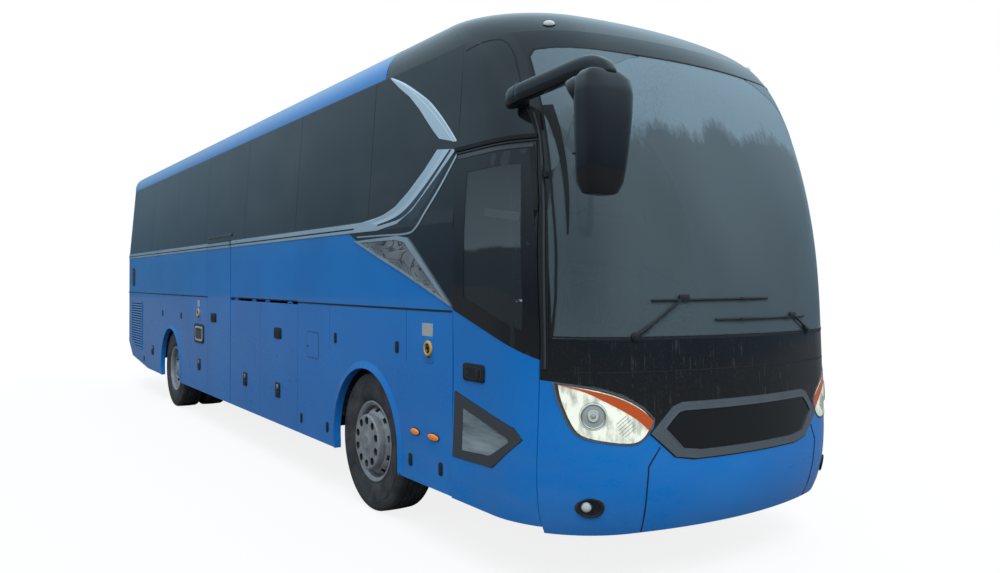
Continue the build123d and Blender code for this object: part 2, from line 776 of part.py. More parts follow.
# ---------------------------------------------------------------- underframe
inside_y = half_width - wall
rail_y = 400
rail_width = 80
rail_low_z = 620
rail_high_z = 780
hold_rear_x = behind(7650)
hold_front_x = behind(3880)
hold_floor_z = 450
tray_thickness = 40
tray_half = inside_y - 20
bulkhead_half = 15
well_y = -560                         # inner side of both step wells
plate = 20
deck_z = 1345                         # top of the passenger deck
deck_thickness = 45
deck_low_z = deck_z - deck_thickness
pad_xs = (behind(3500), behind(7900))  # jacking pads under the rails
pad_thickness = 30
tow_beam_back = 200                   # rear face of the tow beam ahead of the tail
tow_length = 100
tow_radius = 25
tow_z = 640
# The tray and the bulkheads of the hold: X range, Y range and Z range of each plate
tray_low_z = hold_floor_z - tray_thickness
beside_well_y = well_y + plate + 5
HOLD_PLATES = [
    (hold_rear_x + bulkhead_half, middle_rear_x - 40, -tray_half, tray_half, tray_low_z, hold_floor_z),
    (middle_rear_x - 40, middle_front_x + 30, beside_well_y, tray_half, tray_low_z, hold_floor_z),
    (middle_front_x + 30, hold_front_x - bulkhead_half, -tray_half, tray_half, tray_low_z, hold_floor_z),
    (hold_rear_x - bulkhead_half, hold_rear_x + bulkhead_half, -inside_y, inside_y, tray_low_z, deck_low_z),
    (hold_front_x - bulkhead_half, hold_front_x + bulkhead_half, -inside_y, inside_y, tray_low_z, deck_low_z),
]
with BuildPart() as underframe:
    for way in (-1, 1):
        low, high = sorted((way * (rail_y - rail_width / 2), way * (rail_y + rail_width / 2)))
        add(box(hold_front_x + bulkhead_half, behind(330), low, high, rail_low_z, rail_high_z))
        add(box(tail_x + 250, hold_rear_x - bulkhead_half, low, high, rail_low_z, rail_high_z))
    for cross_x in (behind(1750), behind(1350), behind(10100), behind(11400)):
        add(box(cross_x - 40, cross_x + 40, -inside_y, inside_y, rail_low_z + 20, rail_high_z - 20))
    for pad_x in pad_xs:
        for way in (-1, 1):
            low, high = sorted((way * (rail_y - rail_width / 2), way * (rail_y + rail_width / 2)))
            add(box(pad_x - 80, pad_x + 80, low, high, rail_low_z - pad_thickness, rail_low_z))
    # The rear cross beam holds the tow socket
    add(box(tail_x + tow_beam_back, tail_x + tow_beam_back + tow_length, -rail_y - 200, rail_y + 200,
            tow_z - 70, tow_z + 70))
    add(rod((tail_x, 0, tow_z), (tail_x + tow_beam_back + 2 * tow_length, 0, tow_z), tow_radius),
        mode=Mode.SUBTRACT)
    for extent in HOLD_PLATES:
        add(plate_box(*extent))
finish(underframe, "underframe")

with BuildPart() as engine_block:
    add(box(behind(11500), behind(10150), -rail_y + rail_width / 2 + 20, rail_y - rail_width / 2 - 20,
            rail_high_z - 20, 1270))
finish(engine_block, "engine_block")

# ---------------------------------------------------------------- floor, steps and wheel boxes
front_box_half = 660
rear_box_half = 620
front_box_y = 530
rear_box_y = 560
box_top_z = 1110
cab_rear_x = front_axle_x + front_box_half
cab_front_x = behind(240)
cab_low_z = driver_floor_z - 30
well_front_x = behind(400)
well_low_z = step_z - 30
middle_well_front_x = middle_front_x - 34
deck_front_x = middle_front_x + 31

# Plates of the deck, the cab and the step wells: X range, Y range and Z range
FLOOR_PLATES = [
    # The passenger deck round the middle step well
    (tail_x + 120, middle_rear_x, -inside_y, inside_y, deck_low_z, deck_z),
    (middle_rear_x, deck_front_x, well_y, inside_y, deck_low_z, deck_z),
    (deck_front_x, cab_rear_x, -inside_y, inside_y, deck_low_z, deck_z),
    # The wall below its front edge and the cab's floor round the front step well
    (cab_rear_x - plate, cab_rear_x, -inside_y, inside_y, driver_floor_z, deck_low_z),
    (cab_rear_x - plate, cab_front_x, well_y, inside_y, cab_low_z, driver_floor_z),
    (cab_rear_x - plate, door_rear_x, -inside_y, well_y, cab_low_z, driver_floor_z),
    (well_front_x, cab_front_x, -inside_y, well_y, cab_low_z, driver_floor_z),
    # The front step well: rear side, inner side, lower and upper step
    (door_rear_x - plate, door_rear_x, -inside_y, well_y + plate, well_low_z, cab_low_z),
    (door_rear_x, side_front_x - 40, well_y, well_y + plate, well_low_z, cab_low_z),
    (door_rear_x, side_front_x - 40, -inside_y + 90, well_y, well_low_z, step_z),
    (door_rear_x, side_front_x - 40, well_y - 240, well_y, 640, 640 + plate),
    # The middle step well: rear, inner and front side
    (middle_rear_x - plate, middle_rear_x, -inside_y + 20, well_y + plate, well_low_z, deck_low_z),
    (middle_rear_x, middle_well_front_x, well_y, well_y + plate, well_low_z, deck_low_z),
    (middle_well_front_x - plate, middle_well_front_x, -inside_y + 20, well_y, well_low_z, deck_low_z),
]
# Depth and height of the middle steps
MIDDLE_STEPS = [(600, step_z), (420, 710), (220, 1025)]
# Wheel boxes: axle, half length, inner side and the top of the rear and of the front wall
WHEEL_BOXES = [(front_axle_x, front_box_half, front_box_y, deck_low_z, cab_low_z),
               (rear_axle_x, rear_box_half, rear_box_y, deck_low_z, deck_low_z)]


def side_plate(way, x_low, x_high, y_near, y_off, z_low, z_high):
    """A plate on one side, given by its distances from the middle line."""
    low, high = sorted((way * y_near, way * y_off))
    return plate_box(x_low, x_high, low, high, z_low, z_high)


with BuildPart() as floor_deck:
    for extent in FLOOR_PLATES:
        add(plate_box(*extent))
    for depth, height in MIDDLE_STEPS:
        add(plate_box(middle_rear_x, middle_well_front_x - plate, well_y - depth, well_y,
                      height - plate, height))
    for axle_x, half, near, rear_top, front_top in WHEEL_BOXES:
        low_x = axle_x - half
        high_x = axle_x + half
        for way in (-1, 1):
            add(side_plate(way, low_x, low_x + plate, near, inside_y, rail_low_z, rear_top))
            add(side_plate(way, high_x - plate, high_x, near, inside_y, rail_low_z, front_top))
            add(side_plate(way, low_x + plate, high_x - plate, near, near + plate, rail_high_z, deck_low_z))
            add(side_plate(way, low_x + plate, high_x - plate, near + plate, inside_y, box_top_z,
                           box_top_z + plate))
    # The edges follow the inside of the walls
    add(body_form(wall + skin_gap), mode=Mode.INTERSECT)
finish(floor_deck, "floor_deck")

# ---------------------------------------------------------------- cab fittings
dash_x = behind(560)
wheel_centre = (behind(1020), 620, 1590)
column_axis = Vector(-0.5, 0, 0.866)
with BuildPart() as dashboard:
    with BuildSketch(Plane.XZ.offset(-1000)):
        Polygon((dash_x - 180, driver_floor_z), (dash_x - 130, 1330), (dash_x - 60, 1440),
                (dash_x + 420, 1400), (dash_x + 420, driver_floor_z), align=None)
    extrude(amount=1550)
    add(box(dash_x - 300, dash_x - 20, 330, 930, 1330, 1490))
    add(nose_form(wall + 12), mode=Mode.INTERSECT)
    add(rod(tuple(Vector(*wheel_centre) - column_axis * 330), tuple(Vector(*wheel_centre) - column_axis * 20.3),
            32))
finish(dashboard, "dashboard")

with BuildPart() as steering_wheel:
    wheel_plane = Plane(origin=wheel_centre, z_dir=column_axis, x_dir=(0, 1, 0))
    with BuildSketch(Plane(origin=wheel_centre, x_dir=(0, 1, 0), z_dir=wheel_plane.y_dir)):
        with Locations((225, 0)):
            Circle(15)
    revolve(axis=Axis(wheel_centre, tuple(column_axis)))
    with BuildSketch(wheel_plane.offset(-20)):
        Circle(70)
    extrude(amount=40)
    with BuildSketch(wheel_plane.offset(-8)):
        Rectangle(440, 36)
        with Locations((0, -110)):
            Rectangle(36, 220)
    extrude(amount=16)
finish(steering_wheel, "steering_wheel")

# ---------------------------------------------------------------- seats
seat_depth = 430
seat_cushion_z = 380                  # underside of the cushion above its floor
cushion_thickness = 110
back_height = 700
back_thickness = 110
place_width = 440


def seat_row(front_x, y_low, places, floor_z):
    """A row of seats side by side on one box, with a back for each place."""
    with BuildPart() as row:
        width = places * place_width
        top = floor_z + seat_cushion_z + cushion_thickness
        add(box(front_x - seat_depth, front_x, y_low, y_low + width,
                floor_z + seat_cushion_z, top))
        add(box(front_x - seat_depth + 60, front_x - 80, y_low + 60, y_low + width - 60,
                floor_z, floor_z + seat_cushion_z))
        for place in range(places):
            start = y_low + place * place_width
            with BuildSketch(Plane.XZ.offset(-(start + place_width - 8))):
                Polygon((front_x - seat_depth - 40, top - 90), (front_x - seat_depth + 80, top - 90),
                        (front_x - seat_depth - 100, top + back_height),
                        (front_x - seat_depth - 100 - back_thickness, top + back_height),
                        align=None)
            extrude(amount=place_width - 16)
    return row.part


seat_pitch = 790
aisle_half = 240
LEFT_ROWS = [behind(2250 + seat_pitch * row) for row in range(11)]
RIGHT_ROWS = [x for x in LEFT_ROWS if not middle_rear_x - 250 < x < middle_front_x + 780]
with BuildPart() as passenger_seats:
    for row_x in LEFT_ROWS:
        add(seat_row(row_x, aisle_half, 2, deck_z))
    for row_x in RIGHT_ROWS:
        add(seat_row(row_x, -aisle_half - 2 * place_width, 2, deck_z))
    add(seat_row(LEFT_ROWS[-1] - seat_pitch - 60, -2.5 * place_width, 5, deck_z))
finish(passenger_seats, "passenger_seats")

with BuildPart() as driver_seat:
    add(seat_row(behind(1330), 620 - place_width / 2, 1, driver_floor_z))
finish(driver_seat, "driver_seat")

# ---------------------------------------------------------------- mirrors
mirror_top_z = 2735
mirror_low_z = 2135
mirror_half = 160
mirror_y = 1310
mirror_round = 110
mirror_depth = 180
head_x = nose_x + mirror_reach
left_mirror_x = behind(1050)
with BuildPart() as mirror_head:
    with BuildSketch(Plane.YZ.offset(head_x - mirror_depth)):
        with Locations((-mirror_y, (mirror_low_z + mirror_top_z) / 2)):
            RectangleRounded(2 * mirror_half, mirror_top_z - mirror_low_z, mirror_round)
    extrude(amount=mirror_depth)
    with BuildSketch(Plane.XZ.offset(mirror_y - mirror_half)):
        Polygon((head_x - 40, mirror_top_z), (head_x - 170, mirror_top_z - 30),
                (head_x - mirror_depth, mirror_low_z + 60), (head_x - 130, mirror_low_z),
                (head_x - 50, mirror_low_z), (head_x, mirror_low_z + 90), (head_x, mirror_top_z - 120),
                align=None)
    extrude(amount=2 * mirror_half, mode=Mode.INTERSECT)

with BuildPart() as mirrors:
    # Right: a long arm from the front corner that hangs the head ahead of the nose
    add(mirror_head)
    with BuildLine() as arm_path:
        FilletPolyline((behind(740), -1120, 2760), (behind(560), -1290, 2775),
                       (nose_x + 40, -1300, 2800), (head_x - 100, -1305, 2690), radius=60)
    with BuildSketch(Plane(origin=arm_path.line @ 0, z_dir=arm_path.line % 0)):
        Circle(38)
    sweep(path=arm_path.line)
    # Left: a short arm beside the driver's window
    add(box(left_mirror_x - 60, left_mirror_x + 70, mirror_y - mirror_half, mirror_y + mirror_half,
            mirror_low_z - 150, mirror_top_z - 250))
    add(rod((left_mirror_x, 1200, 2560), (left_mirror_x, mirror_y + 30, 2560), 35))
    add(rod((left_mirror_x, mirror_y, 2570), (left_mirror_x, mirror_y, 2400), 30))
    add(body_form(-skin_gap), mode=Mode.SUBTRACT)
finish(mirrors, "mirrors")

# ---------------------------------------------------------------- wipers
wiper_thickness = 18
# Pivot, elbow and the two ends of the blade in front view, (y, z)
WIPERS = [
    ((-806, 1427), (-493, 1642), (-700, 1620), (182, 1633)),
    ((640, 1427), (450, 1530), (-272, 1512), (600, 1512)),
]


def bar_outline(start, end, half):
    """A straight bar's outline in front view."""
    run = Vector(*end) - Vector(*start)
    side = Vector(-run.Y, run.X) * (half / run.length)
    corners = (Vector(*start) + side, Vector(*end) + side, Vector(*end) - side, Vector(*start) - side)
    return [(corner.X, corner.Y) for corner in corners]


with BuildPart() as wiper_region:
    for pivot, elbow, tip, end in WIPERS:
        add(front_block(bar_outline(pivot, elbow, 16), *nose_span))
        add(front_block(bar_outline(tip, end, 13), *nose_span))

with BuildPart() as wipers:
    add(nose_form(-wiper_thickness))
    add(nose_form(-skin_gap), mode=Mode.SUBTRACT)
    add(wiper_region.part, mode=Mode.INTERSECT)
finish(wipers, "wipers")

# ---------------------------------------------------------------- axles and steering
beam_low_z = 400
beam_high_z = 500
kingpin_radius = 22
eye_radius = 45
eye_low_z = 450
eye_high_z = 590
with BuildPart() as front_axle:
    add(box(front_axle_x - 55, front_axle_x + 55, -kingpin_y + 150, kingpin_y - 150,
            beam_low_z, beam_high_z))
    for way in (-1, 1):
        low, high = sorted((way * (kingpin_y - 160), way * kingpin_y))
        add(box(front_axle_x - 40, front_axle_x + 40, low, high, eye_low_z, eye_high_z))
        add(rod((front_axle_x, way * kingpin_y, eye_low_z), (front_axle_x, way * kingpin_y, eye_high_z),
                eye_radius))
        add(rod((front_axle_x, way * kingpin_y, eye_low_z - 50),
                (front_axle_x, way * kingpin_y, eye_high_z + 50), kingpin_radius))
        add(rod((front_axle_x, way * rail_y, beam_high_z), (front_axle_x, way * rail_y, rail_low_z), 70))
finish(front_axle, "front_axle")

spindle_radius = 45
hub_length = 150
lug = 45
arm_z = eye_low_z - 5 - lug / 2
for name, way in (("knuckle_left", 1), ("knuckle_right", -1)):
    with BuildPart() as knuckle:
        for low in (eye_low_z - 5 - lug, eye_high_z + 5):
            add(rod((front_axle_x, way * kingpin_y, low), (front_axle_x, way * kingpin_y, low + lug),
                    eye_radius))
            near, off = sorted((way * kingpin_y, way * (kingpin_y + 85)))
            add(box(front_axle_x - 40, front_axle_x + 40, near, off, low, low + lug))
        near, off = sorted((way * (kingpin_y + 55), way * (kingpin_y + 85)))
        add(box(front_axle_x - 60, front_axle_x + 60, near, off, eye_low_z - 5 - lug, eye_high_z + 5 + lug))
        add(rod((front_axle_x, way * (kingpin_y + 60), hub_z),
                (front_axle_x, way * (kingpin_y + 85 + hub_length), hub_z), spindle_radius))
        add(box(front_axle_x - steer_arm, front_axle_x, way * kingpin_y - 22, way * kingpin_y + 22,
                eye_low_z - 5 - lug, eye_low_z - 5))
        add(rod((front_axle_x - steer_arm, way * kingpin_y, eye_low_z - 5 - lug),
                (front_axle_x - steer_arm, way * kingpin_y, eye_low_z - 5), 28))
        add(rod((front_axle_x - steer_arm, way * kingpin_y, eye_low_z - 5 - lug - 45),
                (front_axle_x - steer_arm, way * kingpin_y, eye_low_z - 5), 12))
        for low in (eye_low_z - 5 - lug, eye_high_z + 5):
            add(rod((front_axle_x, way * kingpin_y, low - 5), (front_axle_x, way * kingpin_y, low + lug + 5),
                    kingpin_radius + hair), mode=Mode.SUBTRACT)
    finish(knuckle, name)

with BuildPart() as tie_rod:
    rod_z = eye_low_z - 5 - lug - 25
    add(rod((front_axle_x - steer_arm, -kingpin_y + 30, rod_z),
            (front_axle_x - steer_arm, kingpin_y - 30, rod_z), 17))
    for way in (-1, 1):
        add(rod((front_axle_x - steer_arm, way * kingpin_y, rod_z - 18),
                (front_axle_x - steer_arm, way * kingpin_y, rod_z + 18), 32))
        add(rod((front_axle_x - steer_arm, way * kingpin_y, rod_z - 30),
                (front_axle_x - steer_arm, way * kingpin_y, rod_z + 30), 12 + hair), mode=Mode.SUBTRACT)
finish(tie_rod, "tie_rod")

with BuildPart() as rear_axle:
    add(rod((rear_axle_x, -560, hub_z), (rear_axle_x, 560, hub_z), 75))
    add(rod((rear_axle_x, -kingpin_y - 250, hub_z), (rear_axle_x, kingpin_y + 250, hub_z), spindle_radius))
    with Locations((rear_axle_x, 0, hub_z)):
        Sphere(205)
    for way in (-1, 1):
        add(rod((rear_axle_x, way * rail_y, hub_z), (rear_axle_x, way * rail_y, rail_low_z), 70))
finish(rear_axle, "rear_axle")

# ---------------------------------------------------------------- wheels
# Tyre section: distance from the wheel's middle, radius
TYRE_SECTION = [(-111.5, rim_radius + hair), (-111.5, 299), (-138, 340), (-145, 420), (-135, 495),
                (-110, tyre_radius - 3), (0, tyre_radius), (110, tyre_radius - 3), (135, 495),
                (145, 420), (138, 340), (111.5, 299), (111.5, rim_radius + hair)]


def ring(centre_x, middle_y, section, way):
    """A ring turned about a wheel's axis from a section of (outward distance, radius)."""
    with BuildPart() as turned:
        with BuildSketch(Plane.YZ.offset(centre_x)):
            Polygon(*[(middle_y + way * out, hub_z + radius) for out, radius in section], align=None)
        revolve(axis=Axis((centre_x, 0, hub_z), (0, 1, 0)))
    return turned.part


# Rim and hub sections: outward from the wheel's middle, radius
RIM_SECTION = [(-118, 298), (-112, 298), (-112, rim_radius), (112, rim_radius), (112, 298), (118, 298),
               (118, 274), (-118, 274)]
FRONT_DISC = [(20, 274), (32, 250), (60, 232), (86, 212), (96, 205), (176, 205), (176, 60), (160, 60),
              (160, 189), (80, 189), (70, 202), (48, 220), (20, 238), (6, 256), (6, 274)]
REAR_DISC = [(60, 274), (60, 250), (-25, 215), (-25, 60), (-40, 60), (-40, 226), (46, 262), (46, 274)]
FRONT_HUB = [(-50, spindle_radius + hair), (-50, 90), (160, 90), (160, 80), (188, 80), (188, 0), (100, 0),
             (100, spindle_radius + hair)]
REAR_HUB = [(-50, spindle_radius + hair), (-50, 90), (90, 90), (110, 70), (110, spindle_radius + hair)]

WHEELS = [
    ("front_left", front_axle_x, 1, 1),
    ("front_right", front_axle_x, -1, 1),
    ("rear_left", rear_axle_x, 1, 2),
    ("rear_right", rear_axle_x, -1, 2),
]
for name, axle_x, way, count in WHEELS:
    with BuildPart() as rim:
        for place in range(count):
            middle_y = way * (wheel_track_half - place * twin_spacing)
            add(ring(axle_x, middle_y, RIM_SECTION, way))
        if count == 1:
            add(ring(axle_x, way * wheel_track_half, FRONT_DISC, way))
            add(ring(axle_x, way * wheel_track_half, FRONT_HUB, way))
        else:
            add(ring(axle_x, way * wheel_track_half, REAR_DISC, way))
            add(ring(axle_x, way * (wheel_track_half - twin_spacing),
                     [(-out, radius) for out, radius in REAR_DISC], way))
            drum = [(-twin_spacing + 30, spindle_radius + hair), (-twin_spacing + 30, 150), (-25, 150),
                    (-25, spindle_radius + hair)]
            add(ring(axle_x, way * wheel_track_half, drum, way))
            add(ring(axle_x, way * wheel_track_half, REAR_HUB, way))
    finish(rim, f"rim_{name}")
    with BuildPart() as tyre:
        for place in range(count):
            middle_y = way * (wheel_track_half - place * twin_spacing)
            add(ring(axle_x, middle_y, TYRE_SECTION, way))
    finish(tyre, f"tyre_{name}")
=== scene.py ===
"""A touring coach, dressed: finishes, wheels, lamps, trims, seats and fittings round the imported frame.

Metres, with +X to the nose, +Y to the left side and +Z up.
"""
import json
import math

import bmesh
import bpy
from mathutils import Matrix, Vector
from mathutils.bvhtree import BVHTree


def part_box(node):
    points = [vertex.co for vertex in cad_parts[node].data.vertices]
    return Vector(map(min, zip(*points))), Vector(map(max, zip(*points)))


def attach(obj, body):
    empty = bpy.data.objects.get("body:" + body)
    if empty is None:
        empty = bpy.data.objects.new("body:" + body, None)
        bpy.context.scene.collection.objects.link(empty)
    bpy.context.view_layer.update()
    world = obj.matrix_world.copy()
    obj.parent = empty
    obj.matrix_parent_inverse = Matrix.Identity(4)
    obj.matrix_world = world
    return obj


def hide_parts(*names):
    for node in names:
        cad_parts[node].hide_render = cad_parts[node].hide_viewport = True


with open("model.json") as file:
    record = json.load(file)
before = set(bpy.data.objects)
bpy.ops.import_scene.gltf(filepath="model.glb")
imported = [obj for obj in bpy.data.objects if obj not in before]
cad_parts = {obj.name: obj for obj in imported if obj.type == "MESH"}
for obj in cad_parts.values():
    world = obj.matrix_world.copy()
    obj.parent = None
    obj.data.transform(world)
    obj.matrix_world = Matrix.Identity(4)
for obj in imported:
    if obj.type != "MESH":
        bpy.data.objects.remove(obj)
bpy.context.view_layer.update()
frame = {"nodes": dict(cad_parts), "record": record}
NODES = frame["nodes"]

# ------------------------------------------------------------ stations and sizes
NOSE_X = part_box("front_bumper")[1].x
TAIL_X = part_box("rear_wall")[0].x
HALF_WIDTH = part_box("flap_left_front")[1].y
BELT_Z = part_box("belt_trim")[0].z
LOWER_SEAM_Z = 1.530
HUB_Z = 0.520
FRONT_OVERHANG = 2.520
WHEELBASE = 6.200
FRONT_AXLE_X = NOSE_X - FRONT_OVERHANG
REAR_AXLE_X = FRONT_AXLE_X - WHEELBASE
TRACK_HALF = 1.085
TWIN_SPACING = 0.335
RIGHT, LEFT = -1, 1
SIDE_NAMES = {RIGHT: "right", LEFT: "left"}
SIDE_OF = {"right": RIGHT, "left": LEFT}

BODY_BLUE = (0.0, 0.205, 0.660)
SHADE_BLUE = (0.0, 0.168, 0.565)
GLOSS_BLACK = (0.010, 0.011, 0.013)
ROAD_DUST = (0.300, 0.310, 0.310)
DUST_LOW_Z, DUST_HIGH_Z, MOST_DUST = 0.35, 1.25, 0.13
FILM_GREY = (0.135, 0.185, 0.215)
FROST = (0.150, 0.235, 0.290)

# Where the side's blue ends and the black begins: (X, Z) along the side, from the tail to the nose
PAINT_LINE = [(-6.3, 2.10), (3.045, 2.093), (3.178, 2.032), (3.575, 1.893), (3.888, 1.803), (4.310, 1.661),
              (4.563, 1.582), (4.612, 1.552), (5.420, 1.290), (5.900, 1.240)]


def behind(distance):
    """The X of a station given as its distance behind the nose."""
    return NOSE_X - distance


# ------------------------------------------------------------ shader helpers
def new_finish(name, colour, rough, metal=0.0, coat=0.0):
    """A material with one plain shader, ready for its patterns."""
    finish = bpy.data.materials.new(name)
    finish.use_nodes = True
    tree = finish.node_tree
    shader = tree.nodes["Principled BSDF"]
    shader.inputs["Base Color"].default_value = (*colour, 1)
    shader.inputs["Roughness"].default_value = rough
    shader.inputs["Metallic"].default_value = metal
    shader.inputs["Coat Weight"].default_value = coat
    shader.inputs["Coat Roughness"].default_value = 0.04
    return finish, tree, shader


def lead(shader, socket, value):
    """Lead a pattern into an input of the shader."""
    shader.id_data.links.new(value, shader.inputs[socket])


def add_node(tree, kind, inputs=None, **settings):
    """A shader node with its settings and the values or links of its inputs."""
    made = tree.nodes.new(kind)
    for key, value in settings.items():
        setattr(made, key, value)
    for key, value in (inputs or {}).items():
        if isinstance(value, bpy.types.NodeSocket):
            tree.links.new(value, made.inputs[key])
        else:
            made.inputs[key].default_value = value
    return made


def spread(tree, stretch=(1, 1, 1)):
    """The place on the object, stretched by a factor along each axis."""
    place = add_node(tree, "ShaderNodeTexCoord").outputs["Object"]
    return add_node(tree, "ShaderNodeMapping", {"Vector": place, "Scale": stretch}).outputs["Vector"]


def axis_value(tree, axis):
    """The X, Y or Z of the place on the object."""
    place = add_node(tree, "ShaderNodeTexCoord").outputs["Object"]
    return add_node(tree, "ShaderNodeSeparateXYZ", {"Vector": place}).outputs[axis]


def noise(tree, scale, detail=3.0, stretch=(1, 1, 1), rough=0.5):
    """A noise between 0 and 1."""
    made = add_node(tree, "ShaderNodeTexNoise",
                    {"Vector": spread(tree, stretch), "Scale": scale, "Detail": detail, "Roughness": rough})
    return made.outputs["Fac"]


def ranged(tree, value, low, high, to_low=0.0, to_high=1.0):
    """A value from low..high brought to to_low..to_high, and held there."""
    made = add_node(tree, "ShaderNodeMapRange",
                    {"Value": value, "From Min": low, "From Max": high, "To Min": to_low, "To Max": to_high})
    return made.outputs["Result"]


def combined(tree, operation, first, second):
    """Two values put together by a sum, product or comparison."""
    return add_node(tree, "ShaderNodeMath", {0: first, 1: second}, operation=operation).outputs[0]


def blended(tree, share, first, second):
    """A colour between two colours."""
    ends = [c if isinstance(c, bpy.types.NodeSocket) else (*c, 1) for c in (first, second)]
    made = add_node(tree, "ShaderNodeMix", {"Factor": share, 6: ends[0], 7: ends[1]}, data_type="RGBA")
    return made.outputs[2]


def relief(tree, shader, height, depth, strength=1.0):
    """A bump of a height pattern, depth metres deep."""
    bump = add_node(tree, "ShaderNodeBump", {"Height": height, "Distance": depth, "Strength": strength})
    lead(shader, "Normal", bump.outputs["Normal"])


def dusted(tree, shader, colour, rough):
    """Road dust that grows thicker towards the ground."""
    near_road = ranged(tree, axis_value(tree, "Z"), DUST_LOW_Z, DUST_HIGH_Z, 1.0, 0.0)
    patches = ranged(tree, noise(tree, 2.2, 6.0, (1, 1, 2.5), 0.65), 0.35, 0.75)
    specks = ranged(tree, noise(tree, 90.0, 2.0), 0.55, 0.75, 0.0, 0.6)
    share = combined(tree, "MULTIPLY", near_road, combined(tree, "ADD", patches, specks))
    share = combined(tree, "MULTIPLY", share, MOST_DUST)
    lead(shader, "Base Color", blended(tree, share, colour, ROAD_DUST))
    lead(shader, "Roughness", ranged(tree, share, 0.0, MOST_DUST, rough, 0.6))


# ------------------------------------------------------------ finishes
def side_blue_share(tree):
    """1 below the paint line of the sides and 0 above it."""
    curve = add_node(tree, "ShaderNodeFloatCurve")
    line = curve.mapping.curves[0]
    low_x, high_x, top_z = -6.5, 6.5, 4.0
    for _ in PAINT_LINE[2:]:
        line.points.new(0.5, 0.5)
    for point, (x, z) in zip(line.points, PAINT_LINE):
        point.location = ((x - low_x) / (high_x - low_x), z / top_z)
        point.handle_type = "VECTOR"
    curve.mapping.update()
    along = ranged(tree, axis_value(tree, "X"), low_x, high_x)
    tree.links.new(along, curve.inputs["Value"])
    limit = combined(tree, "MULTIPLY", curve.outputs["Value"], top_z)
    return combined(tree, "LESS_THAN", axis_value(tree, "Z"), limit)


def coach_paint(name, two_tone=False):
    """Glossy paint with a clear coat, faint ripples of the sheet and dust low down."""
    finish, tree, shader = new_finish(name, BODY_BLUE, 0.28, coat=0.8)
    shader.inputs["Specular IOR Level"].default_value = 0.15
    tone = blended(tree, ranged(tree, noise(tree, 0.8, 2.0), 0.3, 0.7), BODY_BLUE, SHADE_BLUE)
    if two_tone:
        tone = blended(tree, side_blue_share(tree), GLOSS_BLACK, tone)
    dusted(tree, shader, tone, 0.25)
    peel = combined(tree, "MULTIPLY", noise(tree, 160.0, 2.0), 0.04)
    ripple = noise(tree, 1.6, 2.0, (1, 1, 1.6))
    relief(tree, shader, combined(tree, "ADD", peel, ripple), 0.006, 0.6)
    return finish


def wet_black(name, low, high):
    """Gloss black with the grey run marks that spray leaves, from low to high."""
    finish, tree, shader = new_finish(name, GLOSS_BLACK, 0.12, coat=0.25)
    most = 0.22
    shader.inputs["Specular IOR Level"].default_value = 0.35
    runs = ranged(tree, noise(tree, 55.0, 4.0, (1, 1, 0.030), 0.6), 0.56, 0.72)
    broken = ranged(tree, noise(tree, 16.0, 4.0, (1, 1, 0.8), 0.7), 0.46, 0.62)
    runs = combined(tree, "MULTIPLY", runs, broken)
    drops = ranged(tree, noise(tree, 120.0, 3.0), 0.60, 0.72, 0.0, 0.35)
    height = ranged(tree, axis_value(tree, "Z"), low, high, 1.0, 0.0)
    share = combined(tree, "MULTIPLY", combined(tree, "ADD", runs, drops), height)
    share = combined(tree, "MULTIPLY", share, most)
    lead(shader, "Base Color", blended(tree, share, GLOSS_BLACK, ROAD_DUST))
    lead(shader, "Roughness", ranged(tree, share, 0.0, most, 0.10, 0.45))
    relief(tree, shader, noise(tree, 2.2, 2.0), 0.002, 0.3)
    return finish


def dark_pane(name):
    """Privacy glass: nearly black, with a faint wave."""
    finish, tree, shader = new_finish(name, (0.007, 0.009, 0.012), 0.03, coat=0.1)
    haze = ranged(tree, noise(tree, 1.1, 4.0, (1, 1, 2.0)), 0.45, 0.8, 0.0, 0.12)
    lead(shader, "Base Color", blended(tree, haze, (0.006, 0.008, 0.011), (0.16, 0.18, 0.20)))
    lead(shader, "Roughness", ranged(tree, haze, 0.0, 0.12, 0.03, 0.16))
    relief(tree, shader, noise(tree, 0.9, 1.0), 0.004, 0.5)
    return finish


def frosted(tree):
    """About 1 where frost covers the upper glass and 0 below its ragged lower edge."""
    edge = combined(tree, "ADD", axis_value(tree, "Z"),
                    ranged(tree, noise(tree, 4.2, 6.0, (1, 1, 0.30), 0.70), 0.25, 0.75, -0.17, 0.12))
    grain = ranged(tree, noise(tree, 75.0, 3.0, (1, 1, 0.6)), 0.3, 0.7, 0.72, 1.0)
    return combined(tree, "MULTIPLY", ranged(tree, edge, 2.545, 2.665), grain)


